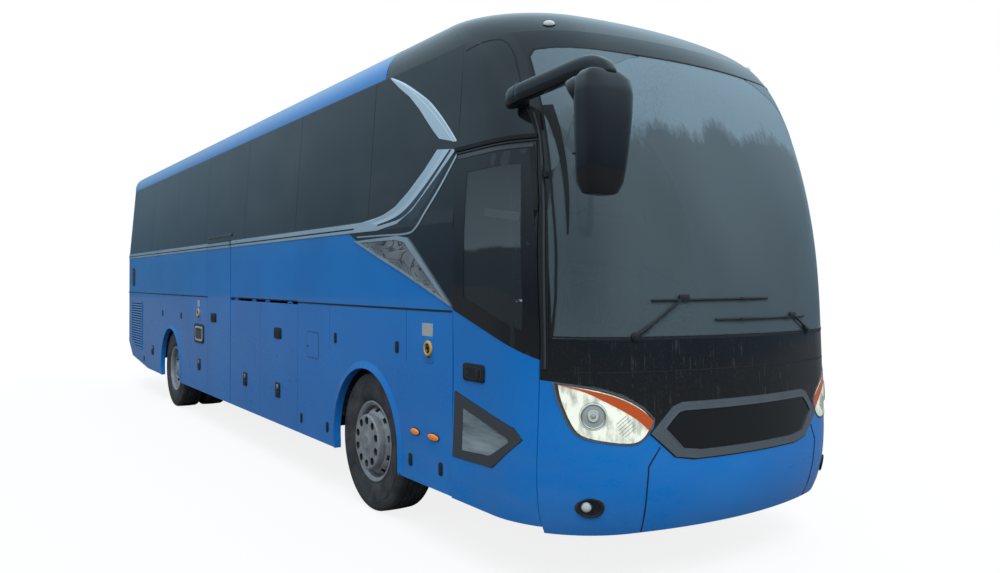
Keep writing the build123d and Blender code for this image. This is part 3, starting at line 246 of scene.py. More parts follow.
def clear_pane(name, tint, body, frost=False, painted_horizon_z=0.0):
    """Clear glass, glossier at a slant, with frost along its top when asked, and where a height is given, a
    painted reflection of the horizon there: darker glass under it and a painted bright band of sky above it.
    """
    finish, tree, shader = new_finish(name, tint, 0.02)
    slant = add_node(tree, "ShaderNodeFresnel", {"IOR": 1.5}).outputs[0]
    cover = combined(tree, "ADD", combined(tree, "MULTIPLY", slant, 0.9), body)
    if frost:
        mist = frosted(tree)
        film = ranged(tree, noise(tree, 1.2, 4.0, (1, 1, 0.5)), 0.30, 0.75, 0.30, 0.54)
        film = combined(tree, "ADD", combined(tree, "MULTIPLY", mist, 0.60), film)
        cover = combined(tree, "ADD", cover, film)
        lead(shader, "Base Color", blended(tree, mist, FILM_GREY, FROST))
        lead(shader, "Roughness", ranged(tree, mist, 0.0, 1.0, 0.02, 0.45))
    if painted_horizon_z:
        # Painted reflection of the horizon: the glass is darker under the height, as if mirroring the ground,
        # and a painted bright band of sky starts at a wavy edge there and fades upward
        waver = ranged(tree, noise(tree, 6.0, 4.0), 0.3, 0.7, -0.02, 0.02)
        height = axis_value(tree, "Z")
        light = ranged(tree, combined(tree, "ADD", height, waver), painted_horizon_z - 0.01, painted_horizon_z + 0.01)
        fading = ranged(tree, height, painted_horizon_z, painted_horizon_z + 0.5, 1.0, 0.35)
        painted_sky_band = combined(tree, "MULTIPLY", light, fading)
        lead(shader, "Base Color", blended(tree, painted_sky_band, tuple(0.3 * c for c in tint), tint))
    lead(shader, "Alpha", ranged(tree, cover, 0.0, 1.0))
    return finish


def frosted_corner(name):
    """The printed glass beside the screen's pane: black under a grey film, with frost over its upper part."""
    finish, tree, shader = new_finish(name, GLOSS_BLACK, 0.08)
    mist = frosted(tree)
    film = ranged(tree, noise(tree, 1.2, 4.0, (1, 1, 0.5)), 0.30, 0.75, 0.45, 0.75)
    below = blended(tree, film, GLOSS_BLACK, FILM_GREY)
    share = combined(tree, "MULTIPLY", mist, 0.50)
    lead(shader, "Base Color", blended(tree, share, below, FROST))
    lead(shader, "Roughness", ranged(tree, mist, 0.0, 1.0, 0.04, 0.45))
    return finish


def hazy_pane(name):
    """Glass under a pale, uneven film that hides most of what is behind it."""
    finish, tree, shader = new_finish(name, (0.20, 0.25, 0.28), 0.14)
    bands = ranged(tree, noise(tree, 7.0, 4.0, (0.25, 1, 1.6), 0.6), 0.3, 0.7)
    lead(shader, "Base Color", blended(tree, bands, (0.17, 0.22, 0.245), (0.35, 0.44, 0.49)))
    lead(shader, "Alpha", ranged(tree, bands, 0.0, 1.0, 0.55, 0.85))
    return finish


def bright_metal(name, colour=(0.78, 0.80, 0.83), rough=0.12):
    """Polished metal with faint wiping marks."""
    finish, tree, shader = new_finish(name, colour, rough, metal=1.0)
    wipe = noise(tree, 9.0, 4.0, (0.4, 1, 1))
    lead(shader, "Roughness", ranged(tree, wipe, 0.3, 0.8, rough, rough + 0.16))
    return finish


def patterned_metal(name):
    """The grey corner panel with its flowing pressed lines."""
    finish, tree, shader = new_finish(name, (0.30, 0.32, 0.34), 0.34, metal=0.5)
    bands = add_node(tree, "ShaderNodeTexNoise",
                     {"Vector": spread(tree, (0.55, 1, 1.5)), "Scale": 3.4, "Detail": 2.0, "Roughness": 0.45,
                      "Distortion": 1.6})
    folds = combined(tree, "PINGPONG", bands.outputs["Fac"], 0.055)
    lines = ranged(tree, folds, 0.004, 0.022)
    cloudy = ranged(tree, noise(tree, 5.0, 4.0), 0.35, 0.7)
    plain = blended(tree, cloudy, (0.20, 0.215, 0.23), (0.38, 0.40, 0.42))
    lead(shader, "Base Color", blended(tree, lines, (0.07, 0.075, 0.08), plain))
    relief(tree, shader, lines, 0.002, 0.8)
    return finish


def moulded_plastic(name, colour=(0.018, 0.019, 0.021), rough=0.42, grain=220.0):
    """Moulded plastic with a fine grain."""
    finish, tree, shader = new_finish(name, colour, rough)
    skin = noise(tree, grain, 3.0)
    lead(shader, "Roughness", ranged(tree, noise(tree, 6.0, 4.0), 0.3, 0.8, rough - 0.06, rough + 0.14))
    relief(tree, shader, skin, 0.0006, 0.5)
    return finish


def tyre_rubber(name):
    """Grey-black tyre rubber, dusty on the side walls."""
    finish, tree, shader = new_finish(name, (0.035, 0.036, 0.038), 0.75)
    dirt = ranged(tree, noise(tree, 7.0, 6.0, rough=0.7), 0.35, 0.75)
    lead(shader, "Base Color", blended(tree, dirt, (0.022, 0.023, 0.025), (0.085, 0.088, 0.090)))
    lead(shader, "Roughness", ranged(tree, dirt, 0.0, 1.0, 0.62, 0.9))
    relief(tree, shader, noise(tree, 140.0, 4.0), 0.0008, 0.6)
    return finish


def wheel_steel(name):
    """Silver-grey wheel paint under road grime."""
    finish, tree, shader = new_finish(name, (0.36, 0.38, 0.41), 0.42, metal=0.35)
    grime = ranged(tree, noise(tree, 9.0, 7.0, rough=0.72), 0.40, 0.80)
    spots = ranged(tree, noise(tree, 60.0, 4.0), 0.58, 0.70, 0.0, 0.5)
    share = combined(tree, "MAXIMUM", grime, spots)
    lead(shader, "Base Color", blended(tree, share, (0.36, 0.385, 0.415), (0.15, 0.155, 0.155)))
    lead(shader, "Roughness", ranged(tree, share, 0.0, 1.0, 0.36, 0.72))
    relief(tree, shader, noise(tree, 80.0, 4.0), 0.0008, 0.5)
    return finish


def chassis_black(name):
    """Black frame paint with brown spray from the road."""
    colour = (0.030, 0.030, 0.031)
    finish, tree, shader = new_finish(name, colour, 0.6)
    spray = ranged(tree, noise(tree, 4.0, 7.0, rough=0.7), 0.45, 0.72)
    lead(shader, "Base Color", blended(tree, spray, colour, (0.115, 0.100, 0.085)))
    lead(shader, "Roughness", ranged(tree, spray, 0.0, 1.0, 0.5, 0.92))
    relief(tree, shader, noise(tree, 45.0, 5.0), 0.002, 0.7)
    return finish


def cast_metal(name):
    """Rough cast iron of the engine."""
    finish, tree, shader = new_finish(name, (0.12, 0.12, 0.125), 0.6, metal=0.6)
    stain = ranged(tree, noise(tree, 6.0, 6.0), 0.4, 0.75)
    lead(shader, "Base Color", blended(tree, stain, (0.14, 0.14, 0.145), (0.07, 0.055, 0.045)))
    relief(tree, shader, noise(tree, 70.0, 5.0), 0.003, 0.8)
    return finish


def floor_vinyl(name):
    """Speckled grey floor covering."""
    finish, tree, shader = new_finish(name, (0.13, 0.13, 0.14), 0.55)
    flecks = ranged(tree, noise(tree, 260.0, 1.0), 0.58, 0.64)
    lead(shader, "Base Color", blended(tree, flecks, (0.085, 0.088, 0.095), (0.30, 0.31, 0.33)))
    relief(tree, shader, noise(tree, 120.0, 2.0), 0.0006, 0.5)
    return finish


def seat_cloth(name):
    """Woven seat cover with a fine rib and a scattered small figure."""
    ground, figure = (0.030, 0.040, 0.085), (0.16, 0.19, 0.30)
    finish, tree, shader = new_finish(name, ground, 0.9)
    cells = add_node(tree, "ShaderNodeTexVoronoi", {"Vector": spread(tree), "Scale": 22.0})
    spots = ranged(tree, cells.outputs["Distance"], 0.16, 0.22, 1.0, 0.0)
    rib = add_node(tree, "ShaderNodeTexWave", {"Vector": spread(tree), "Scale": 150.0}).outputs["Fac"]
    base = blended(tree, combined(tree, "MULTIPLY", rib, 0.35), ground, figure)
    lead(shader, "Base Color", blended(tree, spots, base, figure))
    shader.inputs["Sheen Weight"].default_value = 0.3
    relief(tree, shader, combined(tree, "ADD", rib, noise(tree, 300.0, 2.0)), 0.0008, 0.8)
    return finish


def lamp_lens(name, colour, glow=0.0):
    """A coloured lens with fine vertical flutes."""
    finish, tree, shader = new_finish(name, colour, 0.12, coat=0.6)
    flutes = add_node(tree, "ShaderNodeTexWave", {"Vector": spread(tree), "Scale": 55.0},
                      bands_direction="DIAGONAL").outputs["Fac"]
    shade = tuple(0.35 * c for c in colour)
    lead(shader, "Base Color", blended(tree, combined(tree, "MULTIPLY", flutes, 0.35), colour, shade))
    shader.inputs["Emission Color"].default_value = (*colour, 1)
    shader.inputs["Emission Strength"].default_value = glow
    relief(tree, shader, flutes, 0.0008, 0.6)
    return finish


def lamp_bowl(name):
    """The bright cream inside of a headlamp with pressed facets; its fine slanting streaks, its patches and
    its glow are painted reflections of the lamp's surroundings.
    """
    finish, tree, shader = new_finish(name, (0.70, 0.74, 0.68), 0.22, metal=0.25, coat=0.6)
    # Painted reflections: streaks and patches of light and dark in the colour, and a glow that stands for
    # light mirrored by the reflector
    reflection_streaks = noise(tree, 46.0, 5.0, (1, 1.0, 0.30), 0.7)
    patches = ranged(tree, noise(tree, 13.0, 2.0, (1, 1.0, 0.8)), 0.35, 0.65, 0.5, 1.0)
    shade = ranged(tree, combined(tree, "MULTIPLY", reflection_streaks, patches), 0.12, 0.42)
    lead(shader, "Base Color", blended(tree, shade, (0.34, 0.37, 0.33), (0.84, 0.88, 0.80)))
    lead(shader, "Emission Color", blended(tree, shade, (0.26, 0.28, 0.20), (0.86, 0.90, 0.72)))
    shader.inputs["Emission Strength"].default_value = 0.50
    relief(tree, shader, shade, 0.004, 0.6)
    return finish


def make_finishes():
    """Every finish by its short name."""
    return {
        "blue": coach_paint("body_blue"),
        "two_tone": coach_paint("body_blue_and_black", two_tone=True),
        "cap_black": wet_black("cap_black", 2.2, 2.3),
        "mask_black": wet_black("mask_black_with_runs", 1.2, 1.75),
        "side_glass": dark_pane("privacy_glass"),
        "screen": clear_pane("windscreen_glass", (0.030, 0.038, 0.040), 0.06, frost=True),
        # The door glass carries a painted reflection of the horizon at 1.915 m
        "door_glass": clear_pane("door_glass", (0.150, 0.190, 0.215), 0.46, painted_horizon_z=1.915),
        "chrome": bright_metal("trim_chrome", (0.88, 0.91, 0.94), 0.26),
        "frame_chrome": bright_metal("grille_chrome", (0.42, 0.45, 0.48), 0.24),
        "pattern": patterned_metal("pressed_corner_panel"),
        "plastic": moulded_plastic("black_moulded_plastic"),
        "housing": wet_black("black_housing", 0.2, 0.3),
        "hazy_glass": hazy_pane("hazy_glass"),
        "frosted_corner": frosted_corner("frosted_corner"),
        "lens_grey": moulded_plastic("smoked_reflector", (0.36, 0.39, 0.36), 0.25, 60.0),
        "pale_lens": lamp_lens("pale_lens", (0.62, 0.68, 0.68), 0.10),
        "slate": moulded_plastic("slate_plastic", (0.045, 0.052, 0.060), 0.4, 150.0),
        "dark_chrome": bright_metal("shaded_chrome", (0.20, 0.21, 0.22), 0.16),
        "rubber": moulded_plastic("black_rubber", (0.012, 0.012, 0.013), 0.6, 90.0),
        "tyre": tyre_rubber("tyre_rubber"),
        "wheel": wheel_steel("wheel_steel"),
        "chassis": chassis_black("chassis_black"),
        "engine": cast_metal("engine_iron"),
        "floor": floor_vinyl("floor_vinyl"),
        "dash": moulded_plastic("dash_plastic", (0.030, 0.032, 0.036), 0.55, 160.0),
        "pale_plastic": moulded_plastic("pale_lining", (0.32, 0.33, 0.34), 0.6, 120.0),
        "cloth": seat_cloth("seat_cloth"),
        "orange": lamp_lens("orange_lens", (0.58, 0.095, 0.015), 0.12),
        "amber": lamp_lens("amber_lens", (0.85, 0.24, 0.02), 0.22),
        "red": lamp_lens("red_lens", (0.42, 0.012, 0.012), 0.05),
        "clear_lens": clear_pane("clear_lens", (0.42, 0.45, 0.45), 0.10),
        # The headlamp's inside, with painted reflections and a painted glow
        "reflector_bowl": lamp_bowl("lamp_bowl"),
        "grille_black": wet_black("grille_black", 0.2, 0.3),
        "reflector": bright_metal("lamp_reflector", (0.82, 0.84, 0.84), 0.08),
        "label": moulded_plastic("blank_label", (0.42, 0.45, 0.48), 0.5, 60.0),
        "yellow": moulded_plastic("yellow_ring", (0.62, 0.40, 0.08), 0.5, 80.0),
        "mirror": bright_metal("mirror_glass", (0.85, 0.88, 0.90), 0.02),
        "brown": moulded_plastic("worn_catch", (0.30, 0.20, 0.17), 0.5, 80.0),
    }


finishes = make_finishes()


# ------------------------------------------------------------ mesh helpers
SKIN_NODES = ["side_wall_right", "side_wall_left", "roof", "front_cap", "front_mask", "front_bumper",
              "windscreen", "side_glass", "rear_wall", "rear_window", "front_lamps", "tail_lamps",
              "front_door", "front_door_glass", "middle_door", "flap_right_rear", "flap_right_front",
              "flap_left_rear", "flap_left_front", "engine_hatch"]
# Where a ray to the skin starts and which way it goes, for each side of the coach
FACINGS = {
    "right": (lambda a, b: Vector((a, -3, b)), Vector((0, 1, 0))),
    "left": (lambda a, b: Vector((a, 3, b)), Vector((0, -1, 0))),
    "front": (lambda a, b: Vector((9, a, b)), Vector((-1, 0, 0))),
    "rear": (lambda a, b: Vector((-9, a, b)), Vector((1, 0, 0))),
}


def skin_tree():
    """One search tree over the coach's outer nodes, and the node of each of its faces."""
    whole = bmesh.new()
    owners = []
    for name in SKIN_NODES:
        whole.from_mesh(NODES[name].data)
        owners += [name] * (len(whole.faces) - len(owners))
    tree = BVHTree.FromBMesh(whole)
    whole.free()
    return tree, owners


SKIN, SKIN_OWNERS = skin_tree()
BODY_OF = {node: body for body, nodes in frame["record"]["behaviour"]["bodies"].items() for node in nodes}
IDENTITY = Matrix.Identity(4)


def skin_point(a, b, facing):
    """The place and outward direction of the skin at (X, Z) on a side or (Y, Z) on an end."""
    start, way = FACINGS[facing]
    place, outward, _, _ = SKIN.ray_cast(start(a, b), way)
    if place is None:
        raise ValueError(f"no skin at {a:.3f}, {b:.3f} on the {facing}")
    if outward.dot(way) > 0:
        outward = -outward
    return place, outward


def skin_body(a, b, facing):
    """The body that carries the skin at a point."""
    start, way = FACINGS[facing]
    return BODY_OF[SKIN_OWNERS[SKIN.ray_cast(start(a, b), way)[2]]]


def seat_on(place, outward):
    """A matrix whose X runs along the skin, Y up it and Z out of it."""
    out = outward.normalized()
    along = Vector((0, 0, 1)).cross(out).normalized()
    return Matrix.Translation(place) @ Matrix((along, out.cross(along), out)).transposed().to_4x4()


def on_skin(a, b, facing):
    """The same matrix at a point of the skin."""
    return seat_on(*skin_point(a, b, facing))


def coloured(verts, index):
    """Give the faces of these vertices a material index."""
    for face in {face for vert in verts for face in vert.link_faces}:
        face.material_index = index


def softened(bm, verts, width):
    """Round the edges between these vertices, where a width is given."""
    if width:
        edges = list({edge for vert in verts for edge in vert.link_edges})
        bmesh.ops.bevel(bm, geom=edges, offset=width, segments=2, profile=0.5, affect="EDGES", material=-1,
                        clamp_overlap=True)


def add_block(bm, low, high, index=0, soft=0.0, at=IDENTITY):
    """A block between two corners."""
    middle = [(a + b) / 2 for a, b in zip(low, high)]
    size = [b - a for a, b in zip(low, high)]
    place = at @ Matrix.Translation(middle) @ Matrix.Diagonal((*size, 1))
    verts = bmesh.ops.create_cube(bm, size=1, matrix=place)["verts"]
    coloured(verts, index)
    softened(bm, verts, soft)


def add_rod(bm, start, end, radius, index=0, end_radius=None, sides=20, at=IDENTITY, soft=0.0):
    """A round bar or cone between two points."""
    start, end = Vector(start), Vector(end)
    run = end - start
    turn = run.to_track_quat("Z", "Y").to_matrix().to_4x4()
    made = bmesh.ops.create_cone(bm, cap_ends=True, segments=sides, radius1=radius,
                                 radius2=radius if end_radius is None else end_radius, depth=run.length,
                                 matrix=at @ Matrix.Translation((start + end) / 2) @ turn)
    coloured(made["verts"], index)
    softened(bm, made["verts"], soft)


def add_ball(bm, centre, size, index=0, sides=20, at=IDENTITY):
    """A ball stretched to a size along each axis."""
    place = at @ Matrix.Translation(centre) @ Matrix.Diagonal((*size, 1))
    made = bmesh.ops.create_uvsphere(bm, u_segments=sides, v_segments=sides // 2, radius=1, matrix=place)
    coloured(made["verts"], index)


def add_turned(bm, profile, index=0, steps=48, at=IDENTITY):
    """A ring turned about the local Z from a closed profile of (radius, height) points."""
    ring = bmesh.new()
    verts = [ring.verts.new((radius, 0, height)) for radius, height in profile]
    edges = [ring.edges.new(pair) for pair in zip(verts, verts[1:] + verts[:1])]
    bmesh.ops.spin(ring, geom=verts + edges, cent=(0, 0, 0), axis=(0, 0, 1), angle=2 * math.pi, steps=steps,
                   use_merge=True, use_duplicate=False)
    bmesh.ops.remove_doubles(ring, verts=ring.verts[:], dist=1e-6)
    bmesh.ops.recalc_face_normals(ring, faces=ring.faces[:])
    join_in(bm, ring, index, at)


def join_in(bm, other, index=None, at=IDENTITY):
    """Add another bmesh's shape to this one at a place and drop it."""
    if index is not None:
        for face in other.faces:
            face.material_index = index
    bmesh.ops.transform(other, matrix=at, verts=other.verts[:])
    mesh = bpy.data.meshes.new("part")
    other.to_mesh(mesh)
    other.free()
    bm.from_mesh(mesh)
    bpy.data.meshes.remove(mesh)


def add_ring_of(bm, one, count, at):
    """Copies of a small shape round the local Z, and drop the shape."""
    bmesh.ops.transform(one, matrix=at, verts=one.verts[:])
    mesh = bpy.data.meshes.new("one")
    one.to_mesh(mesh)
    one.free()
    turn = at @ Matrix.Rotation(2 * math.pi / count, 4, "Z") @ at.inverted()
    for _ in range(count):
        bm.from_mesh(mesh)
        mesh.transform(turn)
    bpy.data.meshes.remove(mesh)


def add_plate(bm, width, height, low, high, index=0, round_by=0.0, at=IDENTITY, soft=0.0):
    """A plate in the local XY plane with rounded corners, from a low to a high local Z."""
    plate = bmesh.new()
    place = Matrix.Translation((0, 0, low)) @ Matrix.Diagonal((width, height, 1, 1))
    grid = bmesh.ops.create_grid(plate, x_segments=1, y_segments=1, size=0.5, matrix=place)
    if round_by:
        bmesh.ops.bevel(plate, geom=grid["verts"], offset=round_by, segments=6, profile=0.5,
                        affect="VERTICES", material=-1, clamp_overlap=True)
    made = bmesh.ops.extrude_face_region(plate, geom=plate.faces[:])["geom"]
    lifted = [vert for vert in made if isinstance(vert, bmesh.types.BMVert)]
    bmesh.ops.translate(plate, verts=lifted, vec=(0, 0, high - low))
    if soft:
        top = [edge for edge in plate.edges if all(vert in lifted for vert in edge.verts)]
        bmesh.ops.bevel(plate, geom=top, offset=soft, segments=2, profile=0.5, affect="EDGES", material=-1,
                        clamp_overlap=True)
    bmesh.ops.recalc_face_normals(plate, faces=plate.faces[:])
    join_in(bm, plate, index, at)


def cut(bm, point, normal, **options):
    """Cut every face along a plane."""
    geom = bm.verts[:] + bm.edges[:] + bm.faces[:]
    return bmesh.ops.bisect_plane(bm, geom=geom, plane_co=point, plane_no=normal, **options)


def cut_across(bm, axis, spot):
    """Cut every face where an axis passes a value."""
    way = Vector((axis == 0, axis == 1, axis == 2))
    cut(bm, way * spot, way)


def smooth_path(points, steps=4):
    """Points along a smooth line through a few points."""
    knots = [Vector(point) for point in points]
    path = []
    for place in range(len(knots) - 1):
        before = knots[max(place - 1, 0)]
        start, end = knots[place], knots[place + 1]
        after = knots[min(place + 2, len(knots) - 1)]
        for step in range(steps):
            t = step / steps
            bend = 2 * before - 5 * start + 4 * end - after
            twist = 3 * start - before - 3 * end + after
            path.append(0.5 * (2 * start + (end - before) * t + bend * t * t + twist * t ** 3))
    path.append(knots[-1])
    return path


# A rounded end: how far out each section lies and how wide it is, as shares of its length and width
DOME = [(0.38, 0.92), (0.71, 0.70), (0.93, 0.36)]


def add_loft(bm, places, index=0, sides=20, power=2.0, dome=0.0, at=IDENTITY):
    """A closed skin over sections, each a unit circle carried by a matrix, with ends rounded over dome."""
    first = [places[0] @ Matrix.Translation((0, 0, -dome * run)) @ Matrix.Diagonal((wide, wide, 1, 1))
             for run, wide in DOME[::-1] if dome]
    last = [places[-1] @ Matrix.Translation((0, 0, dome * run)) @ Matrix.Diagonal((wide, wide, 1, 1))
            for run, wide in DOME if dome]
    shell = bmesh.new()
    rings = []
    for place in first + places + last:
        verts = bmesh.ops.create_circle(shell, segments=sides, radius=1)["verts"]
        rings.append(list({edge for vert in verts for edge in vert.link_edges}))
        for vert in verts:
            reach = (abs(vert.co.x) ** power + abs(vert.co.y) ** power) ** (1 / power)
            vert.co = place @ Vector((vert.co.x / reach, vert.co.y / reach, 0))
    for one, other in zip(rings, rings[1:]):
        bmesh.ops.bridge_loops(shell, edges=one + other)
    bmesh.ops.edgeloop_fill(shell, edges=rings[0])
    bmesh.ops.edgeloop_fill(shell, edges=rings[-1])
    bmesh.ops.recalc_face_normals(shell, faces=shell.faces[:])
    join_in(bm, shell, index, at)


def add_swept(bm, points, width, height, index=0, sides=16, steps=4, power=2.0, dome=0.0):
    """A bar of one oval section along a smooth line, with its height as near upright as the line allows."""
    path = smooth_path(points, steps)
    places = []
    for place, point in enumerate(path):
        run = (path[min(place + 1, len(path) - 1)] - path[max(place - 1, 0)]).normalized()
        across = run.cross(Vector((0, 0, 1)))
        across = across.normalized() if across.length > 0.05 else Vector((0, 1, 0))
        turn = Matrix((across, across.cross(run), run)).transposed().to_4x4()
        places.append(Matrix.Translation(point) @ turn @ Matrix.Diagonal((width / 2, height / 2, 1, 1)))
    add_loft(bm, places, index, sides, power, dome)


RIBBON_SINK = 0.002


def add_skin_ribbon(bm, one, other, facing, rise_one, rise_other, index=0, steps=5):
    """A band between two lines along the skin, with its own rise at each, so that its face leans."""
    flat = bmesh.new()
    chains = []
    rises = {}
    for points, rise in ((one, rise_one), (other, rise_other)):
        path = smooth_path([(a, 0, b) for a, b in points], steps)
        verts = [flat.verts.new(point) for point in path]
        chains += [flat.edges.new(pair) for pair in zip(verts, verts[1:])]
        rises.update({tuple(vert.co): rise for vert in verts})
    bmesh.ops.bridge_loops(flat, edges=chains)
    made = bmesh.ops.extrude_face_region(flat, geom=flat.faces[:])["geom"]
    lifted = {vert for vert in made if isinstance(vert, bmesh.types.BMVert)}
    for vert in flat.verts:
        rise = rises[tuple(vert.co)] if vert in lifted else -RIBBON_SINK
        place, outward = skin_point(vert.co.x, vert.co.z, facing)
        vert.co = place + outward * rise
    bmesh.ops.recalc_face_normals(flat, faces=flat.faces[:])
    join_in(bm, flat, index)


def flat_outline(flat, corners, round_by):
    """A face in the local XZ plane over an outline, with its corners rounded."""
    verts = [flat.verts.new((a, 0, b)) for a, b in corners]
    flat.faces.new(verts)
    flat.normal_update()
    if round_by:
        bmesh.ops.bevel(flat, geom=verts, offset=round_by, segments=5, profile=0.5, affect="VERTICES",
                        material=-1, clamp_overlap=True)


def add_skin_plate(bm, corners, facing, rise, index=0, round_by=0.0, band=0.0, hole=None, sink=0.003,
                   cell=0.10):
    """A plate that follows the skin over an outline, or a band of that width inside it or round a hole."""
    flat = bmesh.new()
    flat_outline(flat, corners, round_by)
    if hole:
        opening = bmesh.new()
        flat_outline(opening, hole, round_by)
        join_in(flat, opening)
        edges = flat.edges[:]
        bmesh.ops.delete(flat, geom=flat.faces[:], context="FACES_ONLY")
        bmesh.ops.bridge_loops(flat, edges=edges)
    if band:
        kept = bmesh.ops.inset_region(flat, faces=flat.faces[:], thickness=band, use_boundary=True,
                                      use_even_offset=True)["faces"]
        bmesh.ops.delete(flat, geom=[f for f in flat.faces if f not in set(kept)], context="FACES")
    for axis in (0, 2):
        places = [vert.co[axis] for vert in flat.verts]
        low, reach = min(places), max(places) - min(places)
        count = math.floor(reach / cell)
        for step in range(1, count + 1):
            cut_across(flat, axis, low + step * reach / (count + 1))
    bmesh.ops.remove_doubles(flat, verts=flat.verts[:], dist=0.0005)
    spots = {vert.co.copy().freeze(): skin_point(vert.co.x, vert.co.z, facing) for vert in flat.verts}
    made = bmesh.ops.extrude_face_region(flat, geom=flat.faces[:])["geom"]
    lifted = {vert for vert in made if isinstance(vert, bmesh.types.BMVert)}
    for vert in flat.verts:
        place, outward = spots[vert.co.copy().freeze()]
        vert.co = place + outward * (rise if vert in lifted else -sink)
    bmesh.ops.recalc_face_normals(flat, faces=flat.faces[:])
    join_in(bm, flat, index)


def add_skin_line(bm, points, facing, width, rise):
    """A narrow strip along the skin through a few points."""
    path = [Vector(point) for point in points]
    sides = []
    for place, point in enumerate(path):
        before = path[max(place - 1, 0)]
        after = path[min(place + 1, len(path) - 1)]
        run = (after - before).normalized()
        sides.append(Vector((-run.y, run.x)) * width / 2)
    outline = [p + s for p, s in zip(path, sides)] + [p - s for p, s in zip(path[::-1], sides[::-1])]
    add_skin_plate(bm, [tuple(p) for p in outline], facing, rise)


def make_piece(name, bm, body, uses, sharp=32.0):
    """Turn a bmesh into a piece of the coach that moves with a body."""
    mesh = bpy.data.meshes.new(name)
    bm.to_mesh(mesh)
    bm.free()
    for use in uses:
        mesh.materials.append(finishes[use])
    mesh.shade_smooth()
    mesh.set_sharp_from_angle(angle=math.radians(sharp))
    piece = bpy.data.objects.new(name, mesh)
    bpy.context.scene.collection.objects.link(piece)
    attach(piece, body)
    return piece


# ------------------------------------------------------------ finishes of the frame's own nodes
FLAPS = ["flap_right_rear", "flap_right_front", "flap_left_rear", "flap_left_front"]
WHEELS = ["front_left", "front_right", "rear_left", "rear_right"]
NODE_FINISHES = {
    "two_tone": ["side_wall_right", "side_wall_left", "front_door", "middle_door"],
    "blue": ["roof", "front_bumper", "rear_wall", "engine_hatch"] + FLAPS,
    "cap_black": ["front_cap"],
    "mask_black": ["front_mask"],
    "screen": ["windscreen"],
    "side_glass": ["side_glass", "rear_window"],
    "door_glass": ["front_door_glass"],
    "chrome": ["belt_trim"],
    "frame_chrome": ["grille_frame"],
    "clear_lens": ["front_lamps"],
    "red": ["tail_lamps"],
    "chassis": ["underframe", "front_axle", "rear_axle", "knuckle_left", "knuckle_right", "tie_rod",
                "door_arms"],
    "engine": ["engine_block"],
    "floor": ["floor_deck"],
    "dash": ["dashboard", "steering_wheel"],
    "cloth": ["driver_seat", "passenger_seats"],
    "plastic": ["mirrors", "wipers"],
    "wheel": [f"rim_{wheel}" for wheel in WHEELS],
    "tyre": [f"tyre_{wheel}" for wheel in WHEELS],
}
for use_name, node_names in NODE_FINISHES.items():
    for node_name in node_names:
        node_mesh = NODES[node_name].data
        node_mesh.materials.clear()
        node_mesh.materials.append(finishes[use_name])


# ------------------------------------------------------------ wheels
CROWN_RADIUS = 0.520
CROWN_DROP = 0.0035
TREAD_HALF = 0.110
GROOVE_DEPTH = 0.014
STUD_COUNT = 10
STUD_RING = 0.160
HAND_HOLES = 10
DISC_THICKNESS = 0.010


def wheel_place(axle_x, side, out=TRACK_HALF):
    """A matrix at a wheel's middle whose Z points away from the coach."""
    turn = Matrix(((1, 0, 0), (0, 0, side), (0, -side, 0))).to_4x4()
    return Matrix.Translation((axle_x, side * out, HUB_Z)) @ turn


def smooth_profile(points, rounds=2):
    """A closed or open profile with its corners rounded by cutting them twice."""
    for _ in range(rounds):
        cut = [points[0]]
        for (r0, h0), (r1, h1) in zip(points, points[1:]):
            cut.append((0.75 * r0 + 0.25 * r1, 0.75 * h0 + 0.25 * h1))
            cut.append((0.25 * r0 + 0.75 * r1, 0.25 * h0 + 0.75 * h1))
        cut.append(points[-1])
        points = cut
    return points


def add_tyre(bm, at):
    """A road tyre with rounded side walls, four rain grooves and side wall ribs."""
    side_wall = smooth_profile([(0.288, 0.112), (0.300, 0.113), (0.318, 0.128), (0.352, 0.140),
                                (0.420, 0.1455), (0.470, 0.142), (0.500, 0.133), (0.512, 0.122),
                                (0.5165, TREAD_HALF)])
    ribs = [(TREAD_HALF, 0.072), (0.064, 0.026), (0.018, -0.018), (-0.026, -0.064), (-0.072, -TREAD_HALF)]
    tread = []
    for high, low in ribs:
        tread += [(crown_radius(high), high), (crown_radius(low), low)]
        if low > -TREAD_HALF:
            floor_radius = crown_radius(low) - GROOVE_DEPTH
            tread += [(floor_radius, low - 0.001), (floor_radius, low - 0.007)]
    lower_wall = [(radius, -height) for radius, height in side_wall[::-1]]
    add_turned(bm, side_wall[:-1] + tread + lower_wall[1:] + [(0.288, -0.060), (0.288, 0.060)], 0, 96, at)
    for radius, height in ((0.372, 0.139), (0.446, 0.1445)):
        for end in (-1, 1):
            add_turned(bm, [(radius - 0.003, end * (height - 0.003)), (radius, end * (height + 0.0015)),
                            (radius + 0.003, end * (height - 0.003))], 0, 96, at)


def crown_radius(height):
    """Radius of the tread at a distance from the tyre's middle."""
    return CROWN_RADIUS - CROWN_DROP * (height / TREAD_HALF) ** 2


def add_rim(bm, at):
    """The rim's barrel with its bead flanges."""
    flange = smooth_profile([(0.284, 0.060), (0.276, 0.080), (0.276, 0.104), (0.284, 0.112), (0.297, 0.113),
                             (0.304, 0.119), (0.303, 0.1255), (0.294, 0.128), (0.284, 0.121), (0.271, 0.114),
                             (0.266, 0.098), (0.264, 0.050)], 1)
    back = [(radius, -height) for radius, height in flange[::-1]]
    add_turned(bm, flange + back, 0, 96, at)


def ringed_face(rings, steps):
    """A new open face through rings of (radius, height), with its squares in rows from the middle out."""
    disc = bmesh.new()
    turns = [2 * math.pi * k / steps for k in range(steps)]
    loops = [[disc.verts.new((radius * math.cos(turn), radius * math.sin(turn), height)) for turn in turns]
             for radius, height in rings]
    for inner, outer in zip(loops, loops[1:]):
        for k in range(steps):
            disc.faces.new((inner[k], inner[k - 1], outer[k - 1], outer[k]))
    disc.faces.ensure_lookup_table()
    return disc


